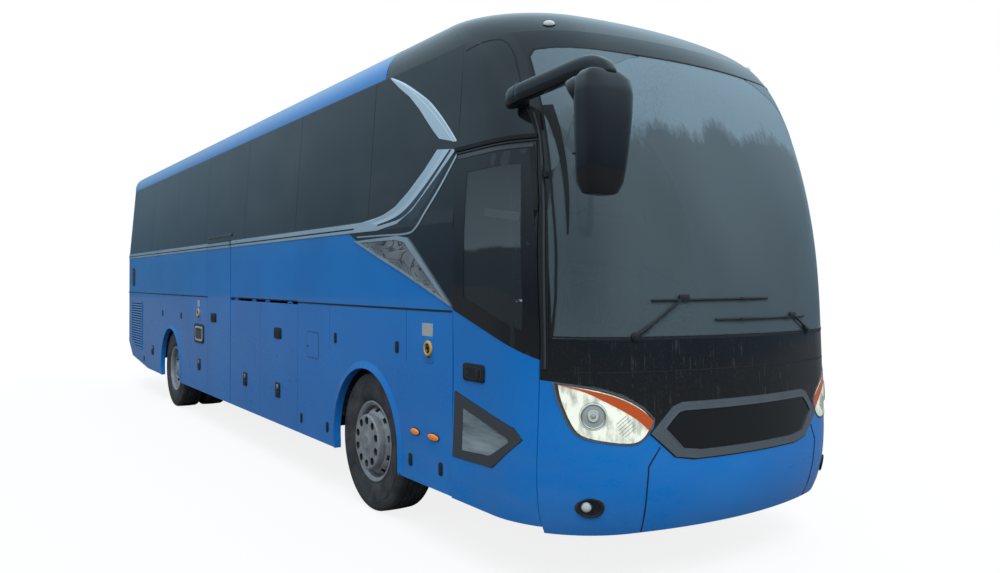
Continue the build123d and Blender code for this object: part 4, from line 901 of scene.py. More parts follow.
def add_holed_disc(bm, rings, at):
    """A pressed wheel disc through rings of (radius, height) with round hand holes in its widest band."""
    steps = 6 * HAND_HOLES
    disc = ringed_face(rings, steps)
    band = len(rings) // 2 - 1
    removed = [disc.faces[row * steps + 6 * hole + k] for hole in range(HAND_HOLES) for k in (2, 3)
               for row in (band, band + 1)]
    bmesh.ops.delete(disc, geom=removed, context="FACES")
    bmesh.ops.recalc_face_normals(disc, faces=disc.faces[:])
    bmesh.ops.subdivide_edges(disc, edges=disc.edges[:], cuts=1, use_grid_fill=True, smooth=0.6)
    bmesh.ops.solidify(disc, geom=disc.faces[:], thickness=DISC_THICKNESS)
    join_in(bm, disc, 0, at)


def add_studs(bm, height, at):
    """The ring of wheel studs with their washers and nuts."""
    one = bmesh.new()
    add_rod(one, (STUD_RING, 0, height - 0.004), (STUD_RING, 0, height + 0.004), 0.0205, 0, None, 24)
    add_nut(one, STUD_RING, height + 0.004)
    add_ring_of(bm, one, STUD_COUNT, at)


def add_nut(bm, radius, height):
    """One nut with its stud's end."""
    add_rod(bm, (radius, 0, height), (radius, 0, height + 0.018), 0.0165, 0, 0.0155, 6, soft=0.001)
    add_rod(bm, (radius, 0, height + 0.018), (radius, 0, height + 0.026), 0.0095, 0, 0.0085, 16, soft=0.001)


def add_bolts(bm, count, radius, low, high, size, at):
    """A ring of small hexagon bolts."""
    one = bmesh.new()
    add_rod(one, (radius, 0, low), (radius, 0, high), size, 0, None, 6, soft=0.0008)
    add_ring_of(bm, one, count, at)


def add_hub_plate(bm, at):
    """The flat cover of a front hub: a drum with round pockets for the nuts and a raised middle."""
    face_height, outer_radius = 0.176, 0.205
    pocket_radius, pocket_depth = 0.0295, 0.034
    radii = [0.085, 0.118, 0.141, STUD_RING, 0.179, 0.197]
    plate = ringed_face([(radius, face_height) for radius in radii], 8 * STUD_COUNT)
    for stud in range(STUD_COUNT):
        angle = 2 * math.pi * (stud + 0.5) / STUD_COUNT
        middle = Vector((STUD_RING * math.cos(angle), STUD_RING * math.sin(angle), face_height))
        inside = [f for f in plate.faces if (f.calc_center_median() - middle).length < pocket_radius - 0.0015]
        touched = {v for f in inside for v in f.verts}
        border = [v for v in touched if any(f not in inside for f in v.link_faces)]
        bmesh.ops.delete(plate, geom=inside, context="FACES")
        ring_edges = [e for e in plate.edges if e.is_boundary and all(v in border for v in e.verts)]
        for v in border:
            v.co = middle + (v.co - middle).normalized() * pocket_radius
        wall = bmesh.ops.extrude_edge_only(plate, edges=ring_edges)["geom"]
        moved = [v for v in wall if isinstance(v, bmesh.types.BMVert)]
        bmesh.ops.translate(plate, verts=moved, vec=(0, 0, -pocket_depth))
        floor_edges = [e for e in wall if isinstance(e, bmesh.types.BMEdge)]
        bmesh.ops.contextual_create(plate, geom=floor_edges)
    wide = [e for e in plate.edges if e.is_boundary and e.verts[0].co.xy.length > 0.19]
    for radius, drop in ((0.2035, -0.006), (outer_radius, -0.014), (outer_radius, -0.100)):
        made = bmesh.ops.extrude_edge_only(plate, edges=wide)["geom"]
        wide = [e for e in made if isinstance(e, bmesh.types.BMEdge)]
        for v in {v for e in wide for v in e.verts}:
            flat = v.co.xy.normalized() * radius
            v.co = Vector((flat.x, flat.y, face_height + drop))
    bmesh.ops.recalc_face_normals(plate, faces=plate.faces[:])
    # The nut pockets' walls and floors take the second, black finish: painted shade in the recesses
    for face in plate.faces:
        middle = face.calc_center_median()
        face.material_index = int(middle.z < face_height - 0.002 and middle.xy.length < 0.195)
    join_in(bm, plate, None, at)
    one = bmesh.new()
    add_nut(one, STUD_RING, face_height - 0.040)
    add_ring_of(bm, one, STUD_COUNT, at @ Matrix.Rotation(math.pi / STUD_COUNT, 4, "Z"))
    cap = [(0.0001, face_height + 0.006), (0.050, face_height + 0.006), (0.056, face_height + 0.002),
           (0.090, face_height + 0.0005), (0.090, face_height - 0.020), (0.0001, face_height - 0.020)]
    add_turned(bm, cap, 0, 48, at)


def add_front_disc(bm, at):
    """The disc of a front wheel, bulging outwards round its hub plate, with hand holes near the rim."""
    rings = [(0.190, 0.122), (0.206, 0.120), (0.223, 0.112), (0.238, 0.098), (0.251, 0.076), (0.268, 0.050)]
    add_holed_disc(bm, rings, at)
    add_hub_plate(bm, at)


def add_rear_disc(bm, at):
    """The deep dished disc of an outer rear wheel with its studs and drive flange."""
    rings = [(0.100, -0.020), (0.190, -0.016), (0.212, 0.000), (0.230, 0.028), (0.246, 0.052), (0.268, 0.058)]
    add_holed_disc(bm, rings, at)
    add_studs(bm, -0.008, at)
    hub = [(0.0001, 0.112), (0.060, 0.112), (0.072, 0.104), (0.088, 0.100), (0.112, 0.092), (0.118, 0.080),
           (0.118, -0.020), (0.0001, -0.020)]
    add_turned(bm, hub, 0, 48, at)
    add_bolts(bm, 10, 0.098, 0.094, 0.106, 0.008, at)


def add_inner_wheel(bm, at):
    """The inner rear wheel's disc, turned the other way, with the brake drum behind it."""
    rings = [(0.150, 0.012), (0.190, 0.014), (0.212, 0.000), (0.230, -0.028), (0.246, -0.052), (0.268, -0.058)]
    add_holed_disc(bm, rings, at)
    drum = [(0.060, -0.030), (0.205, -0.030), (0.215, -0.040), (0.215, -0.120), (0.205, -0.130),
            (0.060, -0.130)]
    add_turned(bm, drum, 1, 48, at)


def make_wheel(name, axle_x, side, twin):
    """One wheel, or a pair on the rear axle: tyres and rims as two pieces."""
    outs = [TRACK_HALF, TRACK_HALF - TWIN_SPACING] if twin else [TRACK_HALF]
    rubber = bmesh.new()
    metal = bmesh.new()
    for out in outs:
        at = wheel_place(axle_x, side, out)
        add_tyre(rubber, at)
        add_rim(metal, at)
    at = wheel_place(axle_x, side)
    if twin:
        add_rear_disc(metal, at)
        add_inner_wheel(metal, wheel_place(axle_x, side, outs[1]))
    else:
        add_front_disc(metal, at)
        drum = [(0.060, -0.020), (0.205, -0.020), (0.215, -0.030), (0.215, -0.085), (0.060, -0.085)]
        add_turned(metal, drum, 1, 48, at)
    valve = Matrix.Rotation(0.7, 4, "Z")
    add_rod(metal, (0.255, 0, 0.030), (0.262, 0, 0.105), 0.0045, 1, None, 10, at @ valve)
    body = f"wheel_{name}"
    tyre = make_piece(f"road_tyre_{name}", rubber, body, ["tyre"], 28)
    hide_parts(f"tyre_{name}")
    rim = make_piece(f"steel_wheel_{name}", metal, body, ["wheel", "chassis"], 32)
    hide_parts(f"rim_{name}")


for wheel_name, wheel_axle_x, wheel_side, is_twin in [("front_left", FRONT_AXLE_X, LEFT, False),
                                                      ("front_right", FRONT_AXLE_X, RIGHT, False),
                                                      ("rear_left", REAR_AXLE_X, LEFT, True),
                                                      ("rear_right", REAR_AXLE_X, RIGHT, True)]:
    make_wheel(wheel_name, wheel_axle_x, wheel_side, is_twin)


# ------------------------------------------------------------ front end
LAMP_FIELD = [(1.150, 1.168), (0.995, 1.136), (0.880, 1.095), (0.775, 1.034), (0.722, 0.978), (0.745, 0.915),
              (0.795, 0.868), (0.865, 0.857), (0.990, 0.874), (1.070, 0.900), (1.108, 0.960), (1.140, 1.080)]
TURN_STRIP = [(1.156, 1.170), (0.995, 1.131), (0.880, 1.089), (0.775, 1.028), (0.706, 0.968), (0.737, 0.918),
              (0.793, 0.970), (0.866, 1.020), (0.966, 1.080), (1.052, 1.130), (1.122, 1.156)]
LAMP_EDGE = [(1.168, 1.182), (0.995, 1.149), (0.877, 1.107), (0.766, 1.042), (0.704, 0.982), (0.733, 0.908),
             (0.792, 0.857), (0.865, 0.846), (0.995, 0.864), (1.078, 0.889), (1.122, 0.956), (1.156, 1.086)]


def on_side(points, side):
    """Points of the right-hand front mirrored to a side."""
    return [(side * y, z) for y, z in points]


def curved(points, corners=(0, 4)):
    """A closed outline through points, curved everywhere but at the corners counted."""
    outline = []
    for first, last in zip(corners, corners[1:] + (len(points),)):
        chain = [(a, 0, b) for a, b in (points + points[:1])[first:last + 1]]
        outline += [(point.x, point.z) for point in smooth_path(chain, 3)[:-1]]
    return outline


def make_headlamp(side):
    """One headlamp: its bright inside, ringed reflectors, slats, orange upper strip and thin bright edge."""
    name = SIDE_NAMES[side]
    bm = bmesh.new()
    add_skin_plate(bm, on_side(curved(LAMP_FIELD), side), "front", 0.0016, 0, cell=0.05)
    make_piece(f"headlamp_inside_{name}", bm, "chassis", ["reflector_bowl"], 40)
    bm = bmesh.new()
    add_skin_plate(bm, on_side(curved(TURN_STRIP, (0, 4, 5)), side), "front", 0.0040, 0, cell=0.04)
    make_piece(f"headlamp_turn_strip_{name}", bm, "chassis", ["orange"], 40)
    bm = bmesh.new()
    at = on_skin(side * 1.022, 1.004, "front") @ Matrix.Diagonal((0.86, 0.86, 1.0, 1.0))
    add_turned(bm, [(0.068, 0.001), (0.078, 0.001), (0.080, 0.006), (0.075, 0.008), (0.069, 0.005)], 0, 48, at)
    add_turned(bm, [(0.036, 0.001), (0.068, 0.001), (0.068, 0.003), (0.038, 0.005)], 1, 48, at)
    add_turned(bm, [(0.030, 0.001), (0.038, 0.001), (0.039, 0.008), (0.035, 0.010), (0.031, 0.006)], 0, 48, at)
    add_turned(bm, [(0.016, 0.001), (0.031, 0.001), (0.031, 0.004), (0.018, 0.006)], 2, 48, at)
    add_ball(bm, (0, 0, 0.001), (0.017, 0.017, 0.010), 1, 32, at)
    add_turned(bm, [(0.085, 0.0), (0.088, 0.0), (0.088, 0.003), (0.085, 0.003)], 1, 48, at)
    inner = on_skin(side * 0.872, 0.952, "front")
    for rib in range(6):
        turn = Matrix.Rotation(side * math.radians(-38), 4, "Z")
        slat = inner @ turn @ Matrix.Translation((0, 0.017 * rib - 0.045, 0))
        reach = 0.052 - 0.006 * abs(rib - 2)
        add_block(bm, (-reach, -0.0016, 0.0005), (reach, 0.0016, 0.0038), 1, 0.0006, slat)
    make_piece(f"headlamp_reflectors_{name}", bm, "chassis",
               ["reflector", "lens_grey", "pale_lens"], 40)
    bm = bmesh.new()
    add_skin_plate(bm, on_side(curved(LAMP_EDGE), side), "front", 0.004, 0, band=0.006, cell=0.05)
    make_piece(f"headlamp_edge_{name}", bm, "chassis", ["frame_chrome"], 40)


def make_fog_lamp(side):
    """One oval fog lamp: a dark bowl, a chrome ring and a small clear lamp in its outer half."""
    bm = bmesh.new()
    at = on_skin(side * 1.024, 0.511, "front")
    oval = at @ Matrix.Diagonal((1.32, 1.0, 1.0, 1.0))
    ring = [(0.042, 0.003), (0.050, 0.002), (0.055, 0.004), (0.056, 0.009), (0.050, 0.011), (0.044, 0.008)]
    add_turned(bm, ring, 0, 40, oval)
    add_rod(bm, (0, 0, -0.002), (0, 0, 0.003), 0.046, 1, None, 40, oval)
    lens = at @ Matrix.Translation((side * 0.022, 0.004, 0))
    add_ball(bm, (0, 0, 0.002), (0.026, 0.024, 0.009), 2, 28, lens)
    add_turned(bm, [(0.024, 0.002), (0.029, 0.002), (0.029, 0.006), (0.026, 0.008)], 3, 32, lens)
    make_piece(f"fog_lamp_{SIDE_NAMES[side]}", bm, "chassis",
               ["plastic", "mask_black", "pale_lens", "reflector"], 40)


# Right-hand halves of the grille frame's outlines and of its dished panel, from the bottom to the top: (Y, Z)
GRILLE_OUTER = [(0.441, 0.749), (0.573, 0.770), (0.729, 0.902), (0.663, 0.969), (0.581, 1.042),
                (0.528, 1.054)]
GRILLE_INNER = [(0.405, 0.790), (0.528, 0.806), (0.648, 0.926), (0.604, 0.974), (0.556, 1.016),
                (0.516, 1.025)]
GRILLE_DISH = [(0.399, 0.804), (0.520, 0.819), (0.624, 0.926), (0.586, 0.966), (0.544, 1.002), (0.508, 1.010)]


def both_halves(points):
    """A right-hand half outline and its mirror image as one outline."""
    return points + [(-y, z) for y, z in points[::-1]]


def make_grille():
    """The wide satin frame with its raised inner edge, its bare black panel and the black line round it."""
    bm = bmesh.new()
    inner = both_halves(GRILLE_INNER)
    add_skin_plate(bm, both_halves(GRILLE_OUTER), "front", 0.0075, 0, hole=inner, cell=0.10)
    add_skin_plate(bm, inner, "front", 0.0100, 0, band=0.007, cell=0.10)
    add_skin_plate(bm, inner, "front", 0.0035, 1, cell=0.10)
    add_skin_plate(bm, both_halves(GRILLE_DISH), "front", 0.0048, 1, round_by=0.008, cell=0.10)
    make_piece("grille_panel", bm, "chassis", ["frame_chrome", "grille_black"], 30)
    bm = bmesh.new()
    outer = [(0.446, 0.741), (0.579, 0.763), (0.740, 0.903), (0.669, 0.976), (0.586, 1.049), (0.529, 1.062)]
    add_skin_plate(bm, both_halves(outer), "front", 0.0016, 0, band=0.010, cell=0.08)
    make_piece("grille_gap_line", bm, "chassis", ["rubber"], 40)


# The height and width of each joint across the black mask
MASK_JOINTS = [(1.237, 0.007), (1.412, 0.009)]


def make_bumper_lines():
    """The dark joints of the bumper's middle panel and those across the black mask."""
    bm = bmesh.new()
    for side in (RIGHT, LEFT):
        seam = [(0.672, 0.826), (0.739, 0.726), (0.741, 0.594), (0.735, 0.479), (0.722, 0.352)]
        add_skin_line(bm, on_side(seam, side), "front", 0.007, 0.0026)
    for step in range(-7, 8):
        # Short lengths that overlap, to follow the bulge
        low, high = step * 0.15 - 0.077, step * 0.15 + 0.077
        for z, width in MASK_JOINTS:
            add_skin_line(bm, [(low, z), (high, z)], "front", width, 0.0016)
    make_piece("bumper_joint_lines", bm, "chassis", ["rubber"], 40)


def front_run(start, end, steps):
    """The share, the place and the outward direction at even steps along the front between two points."""
    run = []
    for step in range(steps + 1):
        share = step / steps
        y = start[0] + (end[0] - start[0]) * share
        z = start[1] + (end[1] - start[1]) * share
        run.append((share, *skin_point(y, z, "front")))
    return run


def make_wipers():
    """Two wipers: pivot caps, cranked arms, blade holders and rubber blades."""
    plans = [("right", (-0.806, 1.427), (-0.493, 1.642), (-0.700, 1.624), (0.182, 1.634)),
             ("left", (0.640, 1.427), (0.450, 1.530), (-0.272, 1.514), (0.600, 1.516))]
    for name, pivot, elbow, tip, end in plans:
        bm = bmesh.new()
        at = on_skin(*pivot, "front")
        add_rod(bm, (0, 0, 0.001), (0, 0, 0.016), 0.026, 0, 0.022, 24, at, 0.002)
        add_rod(bm, (0, 0, 0.012), (0, 0, 0.022), 0.012, 0, None, 6, at)
        arm = [(share, place + outward * (0.010 + 0.006 * math.sin(math.pi * share)))
               for share, place, outward in front_run(pivot, elbow, 10)]
        for (_, last), (share, spot) in zip(arm, arm[1:]):
            thick = 0.011 if share < 0.35 else 0.007
            add_rod(bm, last, spot, thick, 0, thick - 0.001, 10)
        blade = [(place + outward * 0.009, outward) for _, place, outward in front_run(tip, end, 12)]
        for (last, _), (spot, outward) in zip(blade, blade[1:]):
            add_rod(bm, last, spot, 0.0065, 0, None, 8)
            add_rod(bm, last - outward * 0.0045, spot - outward * 0.0045, 0.0038, 1, None, 6)
        for clip in (3, 9):
            spot, outward = blade[clip]
            at = seat_on(spot - outward * 0.009, outward)
            add_block(bm, (-0.03, -0.008, 0.006), (0.03, 0.008, 0.017), 0, 0.003, at)
        add_block(bm, (-0.035, -0.014, 0.006), (0.035, 0.014, 0.018), 0, 0.004, on_skin(*elbow, "front"))
        piece = make_piece(f"wiper_{name}", bm, "chassis", ["plastic", "rubber"], 35)
        if name == "right":
            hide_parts("wipers")


# The right-hand sides of the screen's glass edge, the frosted corner beside its pane and the dark side curve
SCREEN_EDGE = [(1.171, 1.420), (1.157, 1.624), (1.146, 1.897), (1.140, 2.173), (1.127, 2.399), (1.110, 2.700),
               (1.100, 2.900), (1.090, 3.030), (1.060, 3.078), (0.960, 3.088), (0.560, 3.078)]
SCREEN_CORNER = [(1.131, 2.330), (1.124, 2.399), (1.107, 2.700), (1.097, 2.900), (1.087, 3.026),
                 (1.058, 3.074), (0.960, 3.084), (0.560, 3.074), (0.480, 3.062), (0.560, 3.044),
                 (0.625, 3.012), (0.742, 2.962), (0.809, 2.912), (0.871, 2.862), (0.910, 2.812),
                 (0.936, 2.765), (0.966, 2.715), (0.988, 2.665), (1.007, 2.615), (1.026, 2.565),
                 (1.044, 2.515), (1.062, 2.465), (1.080, 2.415), (1.098, 2.360)]
SIDE_CURVE_OUT = [(1.112, 2.720), (1.096, 2.620), (1.086, 2.480), (1.086, 2.310), (1.092, 2.120),
                  (1.098, 1.980)]
SIDE_CURVE_IN = [(1.062, 2.720), (1.058, 2.620), (1.058, 2.480), (1.064, 2.310), (1.078, 2.120),
                 (1.092, 1.980)]


def make_screen_edge():
    """The frosted corners beside the pane, the seal round the screen and the dark curve at each side."""
    bm = bmesh.new()
    for side in (RIGHT, LEFT):
        add_skin_plate(bm, on_side(SCREEN_CORNER, side), "front", 0.0018, 0, cell=0.05)
    make_piece("screen_corners", bm, "chassis", ["frosted_corner"], 40)
    bm = bmesh.new()
    add_skin_plate(bm, both_halves(SCREEN_EDGE), "front", 0.0042, 0, band=0.008, cell=0.08)
    for side in (RIGHT, LEFT):
        outer, inner = on_side(SIDE_CURVE_OUT, side), on_side(SIDE_CURVE_IN, side)
        add_skin_ribbon(bm, outer, inner, "front", 0.0040, 0.0040, 0)
    make_piece("screen_seal", bm, "chassis", ["rubber"], 40)


for lamp_side in (RIGHT, LEFT):
    make_headlamp(lamp_side)
    make_fog_lamp(lamp_side)
make_grille()
make_bumper_lines()
make_screen_edge()
make_wipers()


# ------------------------------------------------------------ side fittings
FITTING_USES = ["rubber", "plastic", "brown", "amber", "label", "yellow", "pale_lens", "blue", "dark_chrome",
                "slate", "red"]
RUBBER, PLASTIC, BROWN, AMBER, LABEL, YELLOW, CLEAR, BLUE, DARK_CHROME, SLATE, RED = range(11)


def add_latch(bm, at):
    """A small upright slot latch."""
    add_plate(bm, 0.050, 0.084, -0.002, 0.004, RUBBER, 0.018, at, 0.001)
    add_plate(bm, 0.026, 0.058, 0.004, 0.007, PLASTIC, 0.011, at, 0.001)


def add_lock(bm, at):
    """A flap lock: a black plate, its worn round catch above and a finger grip below."""
    add_plate(bm, 0.120, 0.140, -0.002, 0.007, RUBBER, 0.018, at, 0.002)
    add_rod(bm, (0, 0.032, 0.006), (0, 0.032, 0.014), 0.026, BROWN, 0.022, 24, at, 0.002)
    add_rod(bm, (0, 0.032, 0.013), (0, 0.032, 0.016), 0.007, PLASTIC, None, 12, at)
    add_plate(bm, 0.086, 0.046, 0.006, 0.010, PLASTIC, 0.012, at @ Matrix.Translation((0, -0.034, 0)), 0.002)
    add_rod(bm, (-0.036, -0.024, 0.012), (0.036, -0.024, 0.012), 0.005, RUBBER, None, 12, at)


def add_pull(bm, width, height, at):
    """A recessed pull: a raised frame round a dark dish with an upright grip."""
    add_plate(bm, width, height, -0.002, 0.010, RUBBER, height * 0.22, at, 0.004)
    add_plate(bm, width * 0.76, height * 0.66, 0.009, 0.0105, SLATE, height * 0.14, at)
    add_plate(bm, width * 0.70, height * 0.60, 0.010, 0.0112, RUBBER, height * 0.12, at)
    grip = at @ Matrix.Translation((width * 0.22, -height * 0.03, 0))
    add_plate(bm, width * 0.16, height * 0.56, 0.010, 0.018, PLASTIC, width * 0.05, grip, 0.003)
    key_x = -width * 0.24
    add_rod(bm, (key_x, 0, 0.010), (key_x, 0, 0.013), height * 0.07, DARK_CHROME, None, 20, at)


def add_marker(bm, width, use, at):
    """An oval side marker: a dark base and a domed lens with a small reflector in it."""
    oval = at @ Matrix.Diagonal((width / 0.05, 1, 1, 1))
    add_rod(bm, (0, 0, -0.002), (0, 0, 0.006), 0.026, RUBBER, 0.025, 32, oval)
    add_ball(bm, (0, 0, 0.005), (width / 2 * 0.94, 0.022, 0.011), use, 28, at)
    add_plate(bm, width * 0.42, 0.020, 0.008, 0.0165, use, 0.004, at, 0.001)


def add_valve(bm, at):
    """The round charging valve in its yellow ring on a small back plate in the body's blue."""
    add_plate(bm, 0.118, 0.170, -0.002, 0.003, BLUE, 0.012, at @ Matrix.Translation((0, -0.010, 0)), 0.001)
    ring = [(0.034, 0.003), (0.050, 0.003), (0.052, 0.009), (0.047, 0.016), (0.038, 0.018), (0.033, 0.014)]
    add_turned(bm, ring, YELLOW, 40, at)
    add_rod(bm, (0, 0, 0.002), (0, 0, 0.008), 0.036, RUBBER, None, 32, at)
    socket = [(0.014, 0.007), (0.024, 0.007), (0.024, 0.013), (0.018, 0.015), (0.014, 0.012)]
    add_turned(bm, socket, DARK_CHROME, 32, at)
    add_block(bm, (-0.008, -0.060, 0.003), (0.008, -0.046, 0.010), RUBBER, 0.002, at)


def add_label(bm, width, height, at):
    """A blank plate with rounded corners and four rivets."""
    add_plate(bm, width, height, -0.002, 0.0018, LABEL, 0.006, at)
    for x in (-1, 1):
        for y in (-1, 1):
            spot = (x * (width / 2 - 0.010), y * (height / 2 - 0.010), 0.0018)
            add_ball(bm, spot, (0.003, 0.003, 0.0015), DARK_CHROME, 12, at)


def add_filler(bm, at):
    """The flush filler flap with its thin joint and finger notch."""
    add_plate(bm, 0.270, 0.224, -0.002, 0.0006, RUBBER, 0.030, at)
    add_plate(bm, 0.260, 0.214, 0.0, 0.0014, BLUE, 0.026, at)
    add_rod(bm, (-0.104, -0.010, 0.001), (-0.104, -0.010, 0.005), 0.013, DARK_CHROME, 0.011, 20, at)


def add_cooler_plate(bm, at):
    """The pale plate in its dark frame behind the middle door."""
    add_plate(bm, 0.430, 0.236, -0.002, 0.008, PLASTIC, 0.050, at, 0.003)
    add_plate(bm, 0.340, 0.176, 0.007, 0.010, LABEL, 0.036, at)
    add_plate(bm, 0.290, 0.130, 0.009, 0.0115, SLATE, 0.020, at)
    for x in (-0.06, 0.06):
        add_rod(bm, (x, 0.058, 0.010), (x, 0.058, 0.014), 0.012, RUBBER, None, 16, at)


# Each fitting of the sides: what makes it, X, Z and its own sizes
BOTH_SIDES_FITTINGS = [
    (add_latch, 2.790, 1.267), (add_latch, 3.862, 1.266), (add_latch, 2.633, 0.527), (add_latch, 2.052, 0.522),
    (add_latch, 4.068, 0.520), (add_latch, -3.351, 1.268), (add_latch, -2.284, 1.268),
    (add_latch, -4.620, 0.518), (add_lock, 0.453, 0.705), (add_lock, 1.444, 0.700), (add_lock, -1.374, 0.704),
    (add_lock, -4.012, 0.695), (add_pull, 1.438, 1.235, 0.180, 0.105),
    (add_marker, 4.134, 0.719, 0.125, AMBER), (add_marker, 4.378, 0.718, 0.152, AMBER),
    (add_filler, 2.304, 1.180),
]
RIGHT_FITTINGS = BOTH_SIDES_FITTINGS + [
    (add_latch, 4.471, 0.530), (add_pull, -0.742, 1.299, 0.200, 0.105), (add_pull, 4.849, 1.178, 0.232, 0.108),
    (add_valve, 4.313, 1.287), (add_label, 4.291, 1.408, 0.140, 0.084), (add_cooler_plate, -1.375, 1.083),
    (add_label, -1.410, 1.440, 0.090, 0.100), (add_valve, -1.400, 1.335),
]
LEFT_FITTINGS = BOTH_SIDES_FITTINGS + [(add_pull, -0.300, 1.235, 0.180, 0.105)]


def make_side_fittings():
    """Latches, locks, pulls, markers, valves, labels and flaps, each on the body that carries its panel."""
    kits = {}
    for facing, fittings in (("right", RIGHT_FITTINGS), ("left", LEFT_FITTINGS)):
        for add_fitting, x, z, *sizes in fittings:
            kit = kits.setdefault((facing, skin_body(x, z, facing)), bmesh.new())
            add_fitting(kit, *sizes, on_skin(x, z, facing))
    for (facing, body), kit in kits.items():
        make_piece(f"fittings_{facing}_{body}", kit, body, FITTING_USES, 38)


# ------------------------------------------------------------ chrome sweeps
UPPER_OUTER = [(3.602, 3.206), (3.760, 3.148), (3.925, 3.074), (4.193, 2.932), (4.358, 2.813), (4.500, 2.692),
               (4.592, 2.605)]
UPPER_INNER = [(3.640, 3.186), (3.950, 3.040), (4.240, 2.852), (4.425, 2.712), (4.556, 2.600)]
LOWER_TOP = [(4.357, 2.572), (4.239, 2.478), (4.086, 2.374), (3.874, 2.272), (3.608, 2.200), (3.275, 2.168)]
LOWER_RIDGE = [(4.520, 2.556), (4.373, 2.452), (4.196, 2.336), (4.010, 2.232), (3.822, 2.170), (3.546, 2.134)]
LOWER_EDGE = [(4.596, 2.548), (4.491, 2.452), (4.387, 2.352), (4.202, 2.196), (4.057, 2.122), (3.600, 2.100)]
SILVER_LINE = [(4.605, 2.520), (4.415, 2.336), (4.232, 2.180), (4.123, 2.090), (3.998, 2.056), (3.588, 2.060),
               (3.200, 2.064)]
SILVER_LOW = [(4.605, 2.500), (4.425, 2.322), (4.244, 2.168), (4.134, 2.078), (4.000, 2.044), (3.588, 2.049),
              (3.200, 2.054)]
CORNER_PANEL = [(3.150, 2.030), (3.860, 2.040), (4.010, 2.022), (4.080, 1.975), (4.596, 1.568),
                (4.560, 1.578), (4.300, 1.664), (3.888, 1.800), (3.575, 1.893)]
CORNER_INNER = [(3.262, 2.014), (3.840, 2.014), (3.970, 1.992), (4.030, 1.948), (4.500, 1.612),
                (4.470, 1.622), (4.290, 1.680), (3.895, 1.812), (3.600, 1.903)]


def make_sweeps(facing):
    """The bright bevels of both swept bars, the thin silver line under them and the pressed corner panel."""
    bm = bmesh.new()
    add_skin_ribbon(bm, UPPER_OUTER, UPPER_INNER, facing, 0.001, 0.007, 0)
    add_skin_ribbon(bm, LOWER_RIDGE, LOWER_EDGE, facing, 0.009, -0.001, 1)
    add_skin_ribbon(bm, LOWER_TOP, LOWER_RIDGE, facing, 0.002, 0.009, 0)
    add_skin_ribbon(bm, SILVER_LINE, SILVER_LOW, facing, 0.004, 0.004, 0)
    add_skin_plate(bm, CORNER_PANEL, facing, 0.008, 0, hole=CORNER_INNER, cell=0.5)
    add_skin_plate(bm, CORNER_INNER, facing, 0.003, 2, cell=0.5)
    make_piece(f"chrome_sweeps_{facing}", bm, "chassis", ["chrome", "dark_chrome", "pattern"], 30)


# ------------------------------------------------------------ long lines of the sides
BELT_GROOVE = (BELT_Z + 0.026, BELT_Z + 0.037)
GROOVE_RISE = 0.0068
SEAM_RISE = 0.0025


def add_wall_strip(bm, facing, low_x, high_x, low_z, high_z, rise, index=0):
    """A straight strip along the upright part of a side wall."""
    way = SIDE_OF[facing]
    base = way * HALF_WIDTH
    inner, outer = sorted((base - way * 0.002, base + way * rise))
    add_block(bm, (low_x, inner, low_z), (high_x, outer, high_z), index)


def make_long_lines():
    """The black line over the lower panels, the belt trim's dark groove and the rail over the middle door."""
    door_low, door_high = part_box("middle_door")
    bm = bmesh.new()
    flaps_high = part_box("flap_right_front")[1].x + 0.012
    for facing, rear_end in (("right", door_low.x - 0.006), ("left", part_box("flap_left_rear")[0].x - 0.012)):
        for low_x, high_x in ((-5.90, rear_end), (flaps_high, 4.600)):
            add_wall_strip(bm, facing, low_x, high_x, LOWER_SEAM_Z + 0.001, LOWER_SEAM_Z + 0.013, SEAM_RISE)
    for low_x, high_x in ((-5.81, door_low.x - 0.006), (door_high.x + 0.010, 3.140)):
        add_wall_strip(bm, "right", low_x, high_x, *BELT_GROOVE, GROOVE_RISE)
    add_wall_strip(bm, "left", -5.60, 3.140, *BELT_GROOVE, GROOVE_RISE)
    for z in (2.222, 2.236):
        rail = [(door_low.x - 0.01 + (door_high.x - door_low.x + 0.02) * step / 8, z) for step in range(9)]
        for one, other in zip(rail, rail[1:]):
            start, out = skin_point(*one, "right")
            end, _ = skin_point(*other, "right")
            add_rod(bm, start + out * 0.003, end + out * 0.003, 0.008, 1, None, 10)
    for facing in ("right", "left"):
        low_x, high_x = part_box(f"flap_{facing}_rear")[0].x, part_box(f"flap_{facing}_front")[1].x
        add_wall_strip(bm, facing, low_x, high_x, LOWER_SEAM_Z + 0.0135, LOWER_SEAM_Z + 0.0215, SEAM_RISE)
    make_piece("side_long_lines", bm, "chassis", ["rubber", "slate"], 35)
    bm = bmesh.new()
    trim_x = (door_low.x + 0.004, door_high.x - 0.032)
    add_wall_strip(bm, "right", *trim_x, BELT_Z, BELT_Z + 0.068, 0.006)
    add_wall_strip(bm, "right", *trim_x, *BELT_GROOVE, GROOVE_RISE, 1)
    make_piece("middle_door_trim", bm, "middle_door", ["chrome", "rubber"], 35)


# ------------------------------------------------------------ front door
DOOR_GLASS_EDGE = [(4.622, 1.548), (5.394, 1.304), (5.394, 1.420), (5.350, 2.175), (5.294, 2.478),
                   (4.622, 2.478)]
DOOR_GLASS_VIEW = [(4.742, 1.628), (5.298, 1.450), (5.306, 1.560), (5.262, 2.180), (5.232, 2.390),
                   (4.742, 2.390)]
LOW_GLASS_EDGE = [(4.632, 1.046), (5.210, 0.914), (5.256, 0.902), (5.292, 0.876), (5.314, 0.846),
                  (5.274, 0.814), (5.114, 0.688), (5.066, 0.654), (5.036, 0.652), (4.632, 0.644)]
LOW_GLASS_VIEW = [(4.732, 0.956), (5.180, 0.848), (5.200, 0.842), (5.212, 0.833), (5.212, 0.822),
                  (5.202, 0.812), (5.062, 0.729), (5.040, 0.719), (5.016, 0.714), (4.734, 0.698)]
